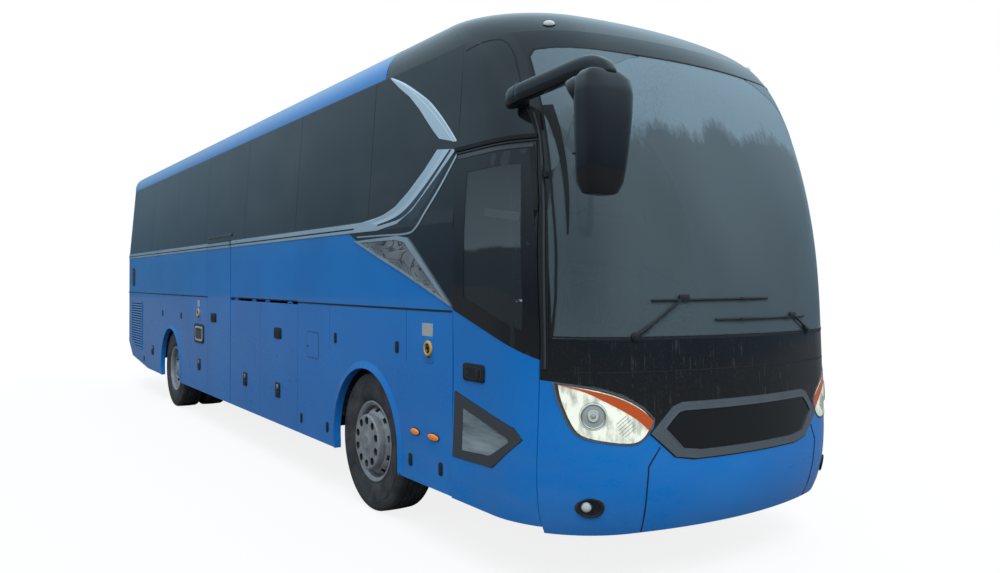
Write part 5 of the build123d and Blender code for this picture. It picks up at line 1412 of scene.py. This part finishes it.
# The rubber edges each side of the joint between the door and the front pillar
DOOR_RUBBER_REAR = [(5.262, 2.488), (5.330, 2.175), (5.372, 1.900), (5.394, 1.600)]
DOOR_RUBBER_FRONT = [(5.295, 2.488), (5.355, 2.175), (5.378, 1.900), (5.398, 1.600)]
PILLAR_REAR = [(5.210, 2.700), (5.308, 2.500), (5.367, 2.175), (5.392, 1.800), (5.413, 1.420), (5.413, 1.245)]
PILLAR_FRONT = [(5.275, 2.700), (5.332, 2.500), (5.400, 2.175), (5.436, 1.850), (5.450, 1.420),
                (5.456, 1.245)]
PILLAR_RIB_REAR = [(5.250, 2.680), (5.318, 2.500), (5.382, 2.175), (5.412, 1.830), (5.430, 1.420),
                   (5.433, 1.250)]
PILLAR_RIB_FRONT = [(5.258, 2.680), (5.326, 2.500), (5.391, 2.175), (5.422, 1.840), (5.440, 1.420),
                    (5.443, 1.250)]


def make_front_door_trim():
    """The frames of the door's two panes, the low pane's haze, a grab bar, the pillar and the gutter above."""
    bm = bmesh.new()
    add_skin_plate(bm, DOOR_GLASS_EDGE, "right", 0.0022, 0, hole=DOOR_GLASS_VIEW, cell=0.12)
    add_skin_plate(bm, LOW_GLASS_EDGE, "right", 0.0045, 1, hole=LOW_GLASS_VIEW, cell=0.12)
    add_skin_ribbon(bm, DOOR_RUBBER_REAR, DOOR_RUBBER_FRONT, "right", 0.003, 0.003, 2)
    band_top = [(4.626, 2.504), (4.800, 2.504), (5.050, 2.504), (5.285, 2.500)]
    band_low = [(4.626, 2.480), (4.800, 2.480), (5.050, 2.480), (5.291, 2.478)]
    add_skin_ribbon(bm, band_top, band_low, "right", 0.003, 0.006, 1)
    make_piece("front_door_frames", bm, "front_door", ["grille_black", "slate", "rubber"], 35)
    bm = bmesh.new()
    add_skin_plate(bm, LOW_GLASS_VIEW, "right", 0.0012, 0, cell=0.12)
    make_piece("front_door_low_pane_haze", bm, "front_door", ["hazy_glass"], 35)
    bm = bmesh.new()
    add_skin_plate(bm, [(4.955, 2.158), (5.256, 2.112), (5.256, 2.062), (4.955, 2.110)], "right", -0.0012, 0,
                   round_by=0.012, sink=0.004)
    make_piece("front_door_grab_bar", bm, "front_door", ["pale_plastic"], 35)
    bm = bmesh.new()
    add_skin_ribbon(bm, PILLAR_REAR, PILLAR_FRONT, "right", 0.003, 0.003, 0)
    add_skin_ribbon(bm, PILLAR_RIB_REAR, PILLAR_RIB_FRONT, "right", 0.009, 0.009, 1)
    make_piece("front_pillar_rubber", bm, "chassis", ["rubber", "slate"], 35)
    bm = bmesh.new()
    pane = smooth_path([(4.640, 0, 3.158), (4.814, 0, 3.177), (4.920, 0, 3.172), (4.990, 0, 3.130),
                        (5.057, 0, 3.045), (5.121, 0, 2.915), (5.190, 0, 2.760)], 3)
    add_skin_line(bm, [(point.x, point.z) for point in pane], "right", 0.008, 0.0012)
    make_piece("front_side_pane_line", bm, "chassis", ["rubber"], 35)
    bm = bmesh.new()
    upper, lower = ([(x, z) for x in (4.590, 4.800, 5.050, 5.300)] for z in (2.552, 2.530))
    add_skin_ribbon(bm, upper, lower, "right", 0.016, 0.012, 0)
    make_piece("front_door_gutter", bm, "chassis", ["rubber"], 35)


ARCH_INNER, ARCH_OUTER = 0.554, 0.606
ARCH_STEPS = 18


def make_arch_lips():
    """The leaning bands round the four wheel arches."""
    bm = bmesh.new()
    for facing in ("right", "left"):
        for axle_x in (FRONT_AXLE_X, REAR_AXLE_X):
            inner, outer = [], []
            for step in range(ARCH_STEPS + 1):
                angle = math.radians(-12 + step * 200 / ARCH_STEPS)
                across = math.copysign(1, math.cos(angle)) if math.sin(angle) < 0 else math.cos(angle)
                reach = Vector((across, math.sin(angle)))
                inner.append(tuple(Vector((axle_x, HUB_Z)) + reach * ARCH_INNER))
                outer.append(tuple(Vector((axle_x, HUB_Z)) + reach * ARCH_OUTER))
            add_skin_ribbon(bm, inner, outer, facing, 0.0075, 0.0012, 0, 2)
    make_piece("wheel_arch_lips", bm, "chassis", ["blue"], 35)


# ------------------------------------------------------------ vents at the tail of the sides
GRILLE_EDGE = [(-5.575, 1.405), (-4.765, 1.405), (-4.765, 0.640), (-5.180, 0.640), (-5.525, 0.760),
               (-5.575, 0.860)]


GRILLE_SLATS = 19
GRILLE_PITCH = 0.0395


def grille_span(z):
    """The X of the rear grille's ends at a height."""
    low = -5.575
    if z < 0.860:
        low = -5.525 - 0.05 * (z - 0.760) / 0.10 if z > 0.760 else -5.180 - 0.345 * (z - 0.640) / 0.120
    return low + 0.022, -4.787


def make_tail_vents(facing):
    """The slatted air grille behind the rear wheel and the tall vent at the corner above it."""
    bm = bmesh.new()
    add_skin_plate(bm, GRILLE_EDGE, facing, 0.001, RUBBER, cell=0.2)
    add_skin_plate(bm, GRILLE_EDGE, facing, 0.007, BLUE, band=0.018, cell=0.2)
    for step in range(GRILLE_SLATS):
        z = 0.672 + GRILLE_PITCH * step
        low, high = grille_span(z)
        stations = (low, (low + high) / 2, high)
        add_skin_ribbon(bm, [(x, z + 0.010) for x in stations], [(x, z - 0.009) for x in stations], facing,
                        0.001, 0.009, BLUE, steps=4)
    tall = [(-5.560, 1.940), (-5.350, 1.940), (-5.350, 1.640), (-5.560, 1.640)]
    add_skin_plate(bm, tall, facing, 0.005, SLATE, round_by=0.06, cell=0.06)
    inner = [(-5.535, 1.915), (-5.375, 1.915), (-5.375, 1.665), (-5.535, 1.665)]
    add_skin_plate(bm, inner, facing, 0.0065, RUBBER, round_by=0.045, cell=0.06)
    for step in range(6):
        z = 1.700 + 0.036 * step
        upper, lower = ([(x, z + half) for x in (-5.520, -5.390)] for half in (0.009, -0.009))
        add_skin_ribbon(bm, upper, lower, facing, 0.006, 0.013, SLATE, steps=2)
    make_piece(f"tail_vents_{facing}", bm, "chassis", FITTING_USES, 32)


# ------------------------------------------------------------ roof
def make_roof_fittings():
    """Two roof hatches, and the small clear marker lamp on each front corner of the roof."""
    bm = bmesh.new()
    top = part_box("roof")[1].z
    for x in (2.300, -3.600):
        at = Matrix.Translation((x, 0, top - 0.004))
        add_plate(bm, 0.760, 0.640, -0.010, 0.012, SLATE, 0.060, at, 0.006)
        add_plate(bm, 0.660, 0.540, 0.010, 0.024, PLASTIC, 0.080, at, 0.010)
    for facing in ("right", "left"):
        at = on_skin(5.090, 3.262, facing)
        oval = at @ Matrix.Diagonal((1.6, 1, 1, 1))
        add_rod(bm, (0, 0, -0.006), (0, 0, 0.004), 0.024, RUBBER, None, 24, oval)
        add_ball(bm, (0, 0, 0.003), (0.036, 0.022, 0.022), CLEAR, 24, at)
    make_piece("roof_fittings", bm, "chassis", FITTING_USES, 35)


make_side_fittings()
for side_facing in ("right", "left"):
    make_sweeps(side_facing)
    make_tail_vents(side_facing)
make_long_lines()
make_front_door_trim()
make_arch_lips()
make_roof_fittings()


# ------------------------------------------------------------ mirrors
MIRROR_HEAD = Vector((NOSE_X + 0.170, -1.310, 2.435))
# Height, and how far the head reaches to the rear, front, outside and inside there
HEAD_SECTIONS = [(0.278, 0.062, 0.046, 0.116, 0.100), (0.246, 0.084, 0.070, 0.140, 0.134),
                 (0.180, 0.086, 0.082, 0.146, 0.142), (0.065, 0.082, 0.084, 0.144, 0.134),
                 (-0.060, 0.079, 0.082, 0.142, 0.118), (-0.170, 0.074, 0.076, 0.138, 0.102),
                 (-0.246, 0.070, 0.068, 0.130, 0.088), (-0.288, 0.056, 0.050, 0.110, 0.066)]

# The dark seam across the housing: its low and high edge, and the slant of its cut
HEAD_SEAM = (0.062, 0.066)
SEAM_SLANT = Vector((0.25, 0.42, 1.0))


def add_mirror_head(bm, at):
    """A rounded housing with a dark seam and a brow, open to the rear with its glass set in."""
    head = bmesh.new()
    places = []
    for height, rear, front, outer, inner in HEAD_SECTIONS[::-1]:
        places.append(Matrix.Translation(((front - rear) / 2, (inner - outer) / 2, height))
                      @ Matrix.Diagonal(((front + rear) / 2, (outer + inner) / 2, 1, 1)))
    add_loft(head, places, sides=44, power=4.4, dome=0.018)
    open_back = cut(head, (-0.066, 0, 0), (-1, 0, 0), clear_outer=True)["geom_cut"]
    rim = [edge for edge in open_back if isinstance(edge, bmesh.types.BMEdge)]
    back = bmesh.ops.edgeloop_fill(head, edges=rim)["faces"]
    for thickness, depth in ((0.010, 0.0), (0.003, -0.008)):
        bmesh.ops.inset_region(head, faces=back, thickness=thickness, depth=depth, use_even_offset=True,
                               use_boundary=True)
    for face in back:
        face.material_index = 1
    for height in HEAD_SEAM:
        cut(head, (0, 0, height), SEAM_SLANT)
    for face in head.faces:
        middle = face.calc_center_median()
        if middle.x > 0.02 and HEAD_SEAM[0] < middle.dot(SEAM_SLANT) < HEAD_SEAM[1]:
            face.material_index = 2
    join_in(bm, head, None, at)
    brow = []
    for back, wide, tall, drop in ((0.020, 0.122, 0.080, 0.026), (-0.060, 0.142, 0.096, 0.030),
                                   (-0.085, 0.142, 0.078, 0.017), (-0.112, 0.137, 0.052, 0.000),
                                   (-0.134, 0.127, 0.028, -0.014), (-0.148, 0.116, 0.012, -0.021)):
        place = at @ Matrix.Translation((back, -0.004, 0.222 - drop))
        brow.append(place @ Matrix.Rotation(math.radians(-90), 4, "Y") @ Matrix.Diagonal((tall, wide, 1, 1)))
    add_loft(bm, brow, 0, 28, 2.6, 0.012)
    add_block(bm, (-0.066, -0.140, -0.112), (-0.060, 0.122, -0.104), 0, at=at)


def add_right_mirror(bm):
    """The long arm from above the door and the tall head at its end."""
    add_mirror_head(bm, Matrix.Translation(MIRROR_HEAD))
    arm = [(5.340, -1.288, 2.756), (5.600, -1.297, 2.766), (5.840, -1.302, 2.776), (5.950, -1.304, 2.768),
           (6.020, -1.305, 2.738), (6.050, -1.305, 2.700)]
    add_swept(bm, arm, 0.084, 0.100, 0, 24, 5, 3.6, 0.03)
    elbow = [(5.175, -1.235, 2.752), (5.230, -1.268, 2.755), (5.330, -1.287, 2.761)]
    add_swept(bm, elbow, 0.078, 0.106, 0, 20, 4, 3.0, 0.03)
    root = [(5.170, -1.120, 2.745), (5.185, -1.190, 2.750), (5.215, -1.262, 2.754)]
    add_swept(bm, root, 0.085, 0.085, 0, 16, 3)
    add_rod(bm, (5.330, -1.288, 2.762), (5.342, -1.288, 2.7625), 0.032, 2)


def add_left_mirror(bm):
    """The driver's compact mirror on a short bracket beside the window."""
    place = Matrix.Translation((4.828, 1.310, 2.235)) @ Matrix.Diagonal((0.72, -1.0, 0.82, 1))
    add_mirror_head(bm, place)
    bracket = [(4.820, 1.200, 2.560), (4.820, 1.290, 2.560), (4.822, 1.312, 2.535), (4.825, 1.312, 2.440)]
    add_swept(bm, bracket, 0.050, 0.056, 0, 16, 4)
    add_plate(bm, 0.10, 0.11, -0.010, 0.010, 0, 0.02, at=on_skin(4.820, 2.560, "left"))


def make_mirrors():
    """Both mirrors, in place of the frame's plain ones."""
    bm = bmesh.new()
    add_right_mirror(bm)
    add_left_mirror(bm)
    bmesh.ops.recalc_face_normals(bm, faces=bm.faces[:])
    mirrors = make_piece("door_mirrors", bm, "chassis", ["housing", "mirror", "rubber"], 38)
    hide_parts("mirrors")


make_mirrors()


# ------------------------------------------------------------ seats
SEAT_WIDTH = 0.440
SEAT_DEPTH = 0.430
BACK_HEIGHT = 0.700
CUSHION_TOP = 0.490
SEAT_PITCH = 0.790
SEAT_ROWS = 11
PAD_SWELL = 0.022
SWELL_FRAMES = 20


def padded_pad(size, cells, seams):
    """A stuffed pad: a block whose cover swells under pressure between its edge and its sewn channels."""
    bm = bmesh.new()
    bmesh.ops.create_cube(bm, size=1, matrix=Matrix.Diagonal((*size, 1)))
    for axis, count in enumerate(cells):
        for step in range(1, count):
            cut_across(bm, axis, size[axis] * (step / count - 0.5))
    bmesh.ops.smooth_vert(bm, verts=bm.verts[:], factor=0.45, use_axis_x=True, use_axis_y=True,
                          use_axis_z=True)
    mesh = bpy.data.meshes.new("pad_start")
    bm.to_mesh(mesh)
    bm.free()
    pad = bpy.data.objects.new("pad_start", mesh)
    bpy.context.scene.collection.objects.link(pad)
    held = pad.vertex_groups.new(name="sewn")
    cell = size[1] / cells[1]
    sewn = [vert.index for vert in mesh.vertices
            if any(abs(vert.co[axis] - spot) < cell * 0.3 for axis, spot in seams)]
    held.add(sewn, 1.0, "REPLACE")
    cover = pad.modifiers.new("cover", "CLOTH")
    cover.settings.use_pressure = True
    cover.settings.uniform_pressure_force = 4.0
    cover.settings.vertex_group_mass = "sewn"
    cover.settings.effector_weights.gravity = 0.0
    cover.settings.quality = 5
    cover.point_cache.frame_end = SWELL_FRAMES
    for step in range(1, SWELL_FRAMES + 1):
        bpy.context.scene.frame_set(step)
    swollen = bpy.data.meshes.new_from_object(pad.evaluated_get(bpy.context.evaluated_depsgraph_get()))
    bpy.context.scene.frame_set(1)
    for vert, start in zip(swollen.vertices, mesh.vertices):
        move = vert.co - start.co
        if move.length > PAD_SWELL:
            vert.co = start.co + move * (PAD_SWELL / move.length)
    bpy.data.objects.remove(pad)
    return swollen


def seat_places():
    """The low front corner line of every passenger place: (X of the cushion's front, middle Y, floor Z)."""
    places = []
    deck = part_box("passenger_seats")[0].z
    door_low_x, door_high_x = behind(6.870) - 0.25, behind(5.950) + 0.78
    for row in range(SEAT_ROWS):
        front = behind(2.250 + SEAT_PITCH * row)
        for side in (0.460, 0.900):
            places.append((front, side, deck))
            if not door_low_x < front < door_high_x:
                places.append((front, -side, deck))
    for number in range(5):
        places.append((behind(11.000), (number - 2) * SEAT_WIDTH, deck))
    return places


def add_seat_pads(bm, cushion, back, at):
    """One place's cushion and back."""
    flat = Matrix.Translation((-SEAT_DEPTH / 2, 0, CUSHION_TOP - 0.060))
    upright = Matrix.Translation((-SEAT_DEPTH - 0.035, 0, CUSHION_TOP + BACK_HEIGHT / 2 - 0.05))
    for pad, move in ((cushion, flat), (back, upright @ Matrix.Rotation(math.radians(-8), 4, "Y"))):
        copy = pad.copy()
        copy.transform(at @ move)
        bm.from_mesh(copy)
        bpy.data.meshes.remove(copy)


def add_seat_shell(bm, at):
    """The seat's hard parts: a back shell, pan, foot and arm rest."""
    add_block(bm, (-0.525, -0.205, 0.40), (-0.500, 0.205, 1.02), 0, 0.012, at)
    add_block(bm, (-0.420, -0.200, 0.345), (-0.030, 0.200, 0.372), 0, 0.006, at)
    add_block(bm, (-0.300, -0.030, 0.0), (-0.160, 0.030, 0.350), 0, 0.006, at)
    add_block(bm, (-0.440, 0.200, 0.615), (-0.120, 0.222, 0.650), 0, 0.006, at)


def make_seats():
    """The passengers' seats and the driver's, in place of the frame's blocks."""
    channels = [(1, 0.126), (1, -0.126)]
    cushion = padded_pad((SEAT_DEPTH - 0.030, SEAT_WIDTH - 0.030, 0.085), (9, 10, 2), channels)
    back = padded_pad((0.080, SEAT_WIDTH - 0.030, BACK_HEIGHT - 0.020), (2, 10, 14), channels + [(2, 0.195)])
    pads = bmesh.new()
    shells = bmesh.new()
    for x, y, z in seat_places():
        at = Matrix.Translation((x, y, z))
        add_seat_pads(pads, cushion, back, at)
        add_seat_shell(shells, at @ Matrix.Diagonal((1, 1 if y > 0 else -1, 1, 1)))
    bmesh.ops.recalc_face_normals(shells, faces=shells.faces[:])
    seats = make_piece("passenger_seat_pads", pads, "chassis", ["cloth"], sharp=60)
    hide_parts("passenger_seats")
    make_piece("passenger_seat_shells", shells, "chassis", ["dash"])
    driver = bmesh.new()
    at = Matrix.Translation((behind(1.330) + 0.005, 0.620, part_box("driver_seat")[0].z))
    add_seat_pads(driver, cushion, back, at)
    chair = make_piece("driver_seat_pads", driver, "chassis", ["cloth"], sharp=60)
    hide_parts("driver_seat")
    frame_parts = bmesh.new()
    add_seat_shell(frame_parts, at)
    add_block(frame_parts, (-0.400, -0.160, 0.0), (-0.060, 0.160, 0.300), 0, 0.02, at)
    make_piece("driver_seat_frame", frame_parts, "chassis", ["dash"])


make_seats()


# ------------------------------------------------------------ tail
def make_tail_lamp(side):
    """One tail lamp: a dark surround, two red lenses, an orange one and a clear one, each in a bezel."""
    bm = bmesh.new()
    edge = [(side * 0.955, 1.155), (side * 1.215, 1.155), (side * 1.215, 1.745), (side * 0.955, 1.745)]
    add_skin_plate(bm, edge, "rear", 0.003, 0, round_by=0.04, cell=0.08)
    for z, use in ((1.665, 3), (1.520, 1), (1.375, 2), (1.235, 1)):
        at = on_skin(side * 1.080, z, "rear")
        bezel = [(0.050, 0.003), (0.060, 0.003), (0.062, 0.010), (0.056, 0.014), (0.050, 0.010)]
        add_turned(bm, bezel, 4, 40, at)
        add_ball(bm, (0, 0, 0.003), (0.051, 0.051, 0.014), use, 32, at)
    make_piece(f"tail_lamp_{SIDE_NAMES[side]}", bm, "chassis",
               ["grille_black", "red", "orange", "clear_lens", "frame_chrome"], 38)


def make_hatch_fittings():
    """The engine hatch's air slats, its lock, the blank plate and the plate lamp."""
    bm = bmesh.new()
    field = [(-0.720, 0.880), (0.720, 0.880), (0.720, 1.230), (-0.720, 1.230)]
    add_skin_plate(bm, field, "rear", 0.002, RUBBER, round_by=0.03, cell=0.3)
    add_skin_plate(bm, field, "rear", 0.008, BLUE, round_by=0.03, band=0.016, cell=0.3)
    for step in range(9):
        z = 0.915 + 0.035 * step
        upper, lower = ([(y, z + half) for y in (-0.695, 0.0, 0.695)] for half in (0.009, -0.008))
        add_skin_ribbon(bm, upper, lower, "rear", 0.003, 0.011, BLUE, steps=3)
    at = on_skin(0.0, 1.420, "rear")
    add_plate(bm, 0.560, 0.170, -0.002, 0.006, RUBBER, 0.014, at, 0.002)
    add_label(bm, 0.520, 0.112, at @ Matrix.Translation((0, 0, 0.006)))
    lamp = on_skin(0.0, 1.545, "rear")
    add_plate(bm, 0.460, 0.050, -0.002, 0.022, PLASTIC, 0.012, lamp, 0.006)
    for x in (-0.13, 0.13):
        add_plate(bm, 0.070, 0.024, 0.020, 0.024, CLEAR, 0.006, lamp @ Matrix.Translation((x, -0.006, 0)))
    add_lock(bm, on_skin(0.0, 0.835, "rear") @ Matrix.Diagonal((0.6, 0.6, 1, 1)))
    make_piece("engine_hatch_fittings", bm, "engine_hatch", FITTING_USES, 35)


def make_rear_bumper():
    """Reflectors and corner markers of the rear, and the exhaust's end."""
    bm = bmesh.new()
    for side in (RIGHT, LEFT):
        at = on_skin(side * 1.000, 0.760, "rear")
        add_plate(bm, 0.150, 0.050, -0.002, 0.008, RUBBER, 0.012, at, 0.002)
        add_plate(bm, 0.134, 0.036, 0.007, 0.011, RED, 0.008, at, 0.001)
        top = on_skin(side * 0.900, 3.160, "rear")
        add_marker(bm, 0.120, RED, top)
    exhaust = [(behind(11.300), 0.780, 0.470), (behind(11.700), 0.800, 0.460), (TAIL_X + 0.080, 0.810, 0.440)]
    add_swept(bm, exhaust, 0.110, 0.110, DARK_CHROME, 24, 4)
    mouth = [(0.044, 0.0), (0.056, 0.0), (0.056, 0.10), (0.052, 0.10), (0.046, 0.02)]
    mouth_at = Matrix.Translation((TAIL_X + 0.150, 0.808, 0.445)) @ Matrix.Rotation(math.radians(-90), 4, "Y")
    add_turned(bm, mouth, DARK_CHROME, 32, mouth_at)
    make_piece("rear_bumper_fittings", bm, "chassis", FITTING_USES, 35)


for lamp_side in (RIGHT, LEFT):
    make_tail_lamp(lamp_side)
make_hatch_fittings()
make_rear_bumper()


# ------------------------------------------------------------ floor, light and camera
def make_floor():
    """A wide pale floor that keeps the coach's shadow."""
    bm = bmesh.new()
    bmesh.ops.create_circle(bm, cap_ends=True, segments=64, radius=FLOOR_RADIUS)
    mesh = bpy.data.meshes.new("floor")
    bm.to_mesh(mesh)
    bm.free()
    floor = bpy.data.objects.new("floor", mesh)
    bpy.context.scene.collection.objects.link(floor)
    finish = bpy.data.materials.new("pale_floor")
    finish.use_nodes = True
    tree = finish.node_tree
    tree.nodes.remove(tree.nodes["Principled BSDF"])
    matt = add_node(tree, "ShaderNodeBsdfDiffuse", {"Color": (*FLOOR_GREY, 1)}).outputs[0]
    seen = add_node(tree, "ShaderNodeLightPath").outputs["Is Camera Ray"]
    strength = combined(tree, "MULTIPLY", seen, FLOOR_LIFT)
    lift = add_node(tree, "ShaderNodeEmission", {"Color": (1, 1, 1, 1), "Strength": strength}).outputs[0]
    both = add_node(tree, "ShaderNodeAddShader", {0: matt, 1: lift}).outputs[0]
    tree.links.new(both, tree.nodes["Material Output"].inputs["Surface"])
    mesh.materials.append(finish)


def make_world():
    """Even light on the coach, a bluer sky in its reflections and a plain white backdrop."""
    world = bpy.data.worlds.new("studio")
    world.use_nodes = True
    tree = world.node_tree
    tree.nodes.clear()
    path = add_node(tree, "ShaderNodeLightPath")
    way = add_node(tree, "ShaderNodeTexCoord").outputs["Generated"]
    rise = add_node(tree, "ShaderNodeSeparateXYZ", {"Vector": way}).outputs["Z"]
    sky_colour = blended(tree, ranged(tree, rise, 0.02, 0.55), LOW_SKY, HIGH_SKY)
    sky = add_node(tree, "ShaderNodeBackground", {"Color": sky_colour})
    even = add_node(tree, "ShaderNodeBackground", {"Color": (0.90, 0.95, 1.0, 1), "Strength": EVEN_LIGHT})
    backdrop = add_node(tree, "ShaderNodeBackground", {"Color": (1, 1, 1, 1), "Strength": 1.0})
    lit = add_node(tree, "ShaderNodeMixShader",
                   {0: path.outputs["Is Glossy Ray"], 1: even.outputs[0], 2: sky.outputs[0]})
    mix = add_node(tree, "ShaderNodeMixShader",
                   {0: path.outputs["Is Camera Ray"], 1: lit.outputs[0], 2: backdrop.outputs[0]})
    out = add_node(tree, "ShaderNodeOutputWorld")
    tree.links.new(mix.outputs[0], out.inputs["Surface"])
    bpy.context.scene.world = world


def make_sun(name, turn, strength, softness):
    """A wide soft lamp far away, turned by degrees about X, Y and Z."""
    lamp = bpy.data.lights.new(name, "SUN")
    lamp.energy = strength
    lamp.angle = math.radians(softness)
    holder = bpy.data.objects.new(name, lamp)
    holder.rotation_euler = [math.radians(angle) for angle in turn]
    holder.visible_glossy = False
    bpy.context.scene.collection.objects.link(holder)


def make_camera():
    """The camera ahead of the right front corner, at a walker's eye height."""
    heading = Vector((math.cos(CAMERA_YAW) * math.cos(CAMERA_PITCH),
                      math.sin(CAMERA_YAW) * math.cos(CAMERA_PITCH), math.sin(CAMERA_PITCH)))
    right = heading.cross(Vector((0, 0, 1))).normalized()
    up = right.cross(heading)
    side = right * math.cos(CAMERA_ROLL) + up * math.sin(CAMERA_ROLL)
    top = up * math.cos(CAMERA_ROLL) - right * math.sin(CAMERA_ROLL)
    data = bpy.data.cameras.new("camera")
    data.sensor_width = 36.0
    data.lens = CAMERA_LENS
    data.clip_start = 0.05
    data.clip_end = 500
    camera = bpy.data.objects.new("camera", data)
    turn = Matrix((side, top, -heading)).transposed().to_4x4()
    camera.matrix_world = Matrix.Translation(CAMERA_PLACE) @ turn
    bpy.context.scene.collection.objects.link(camera)
    bpy.context.scene.camera = camera


FLOOR_RADIUS = 90.0
FLOOR_GREY = (0.140, 0.150, 0.158)
FLOOR_LIFT = 0.845
LOW_SKY = (0.08, 0.15, 0.22)
HIGH_SKY = (0.62, 0.85, 1.0)
EVEN_LIGHT = 0.88
CAMERA_PLACE = Vector((FRONT_AXLE_X + 5.61078, -3.9094, 1.71227))
CAMERA_YAW = math.radians(145.5136)
CAMERA_PITCH = math.radians(-0.2093)
CAMERA_ROLL = math.radians(0.2889)
CAMERA_LENS = 29.428

make_floor()
make_world()
make_sun("key_lamp", (38, 0, 65), 1.3, 25)
make_sun("fill_lamp", (60, 0, 150), 0.5, 40)
make_camera()
bpy.context.scene.view_settings.view_transform = "Standard"
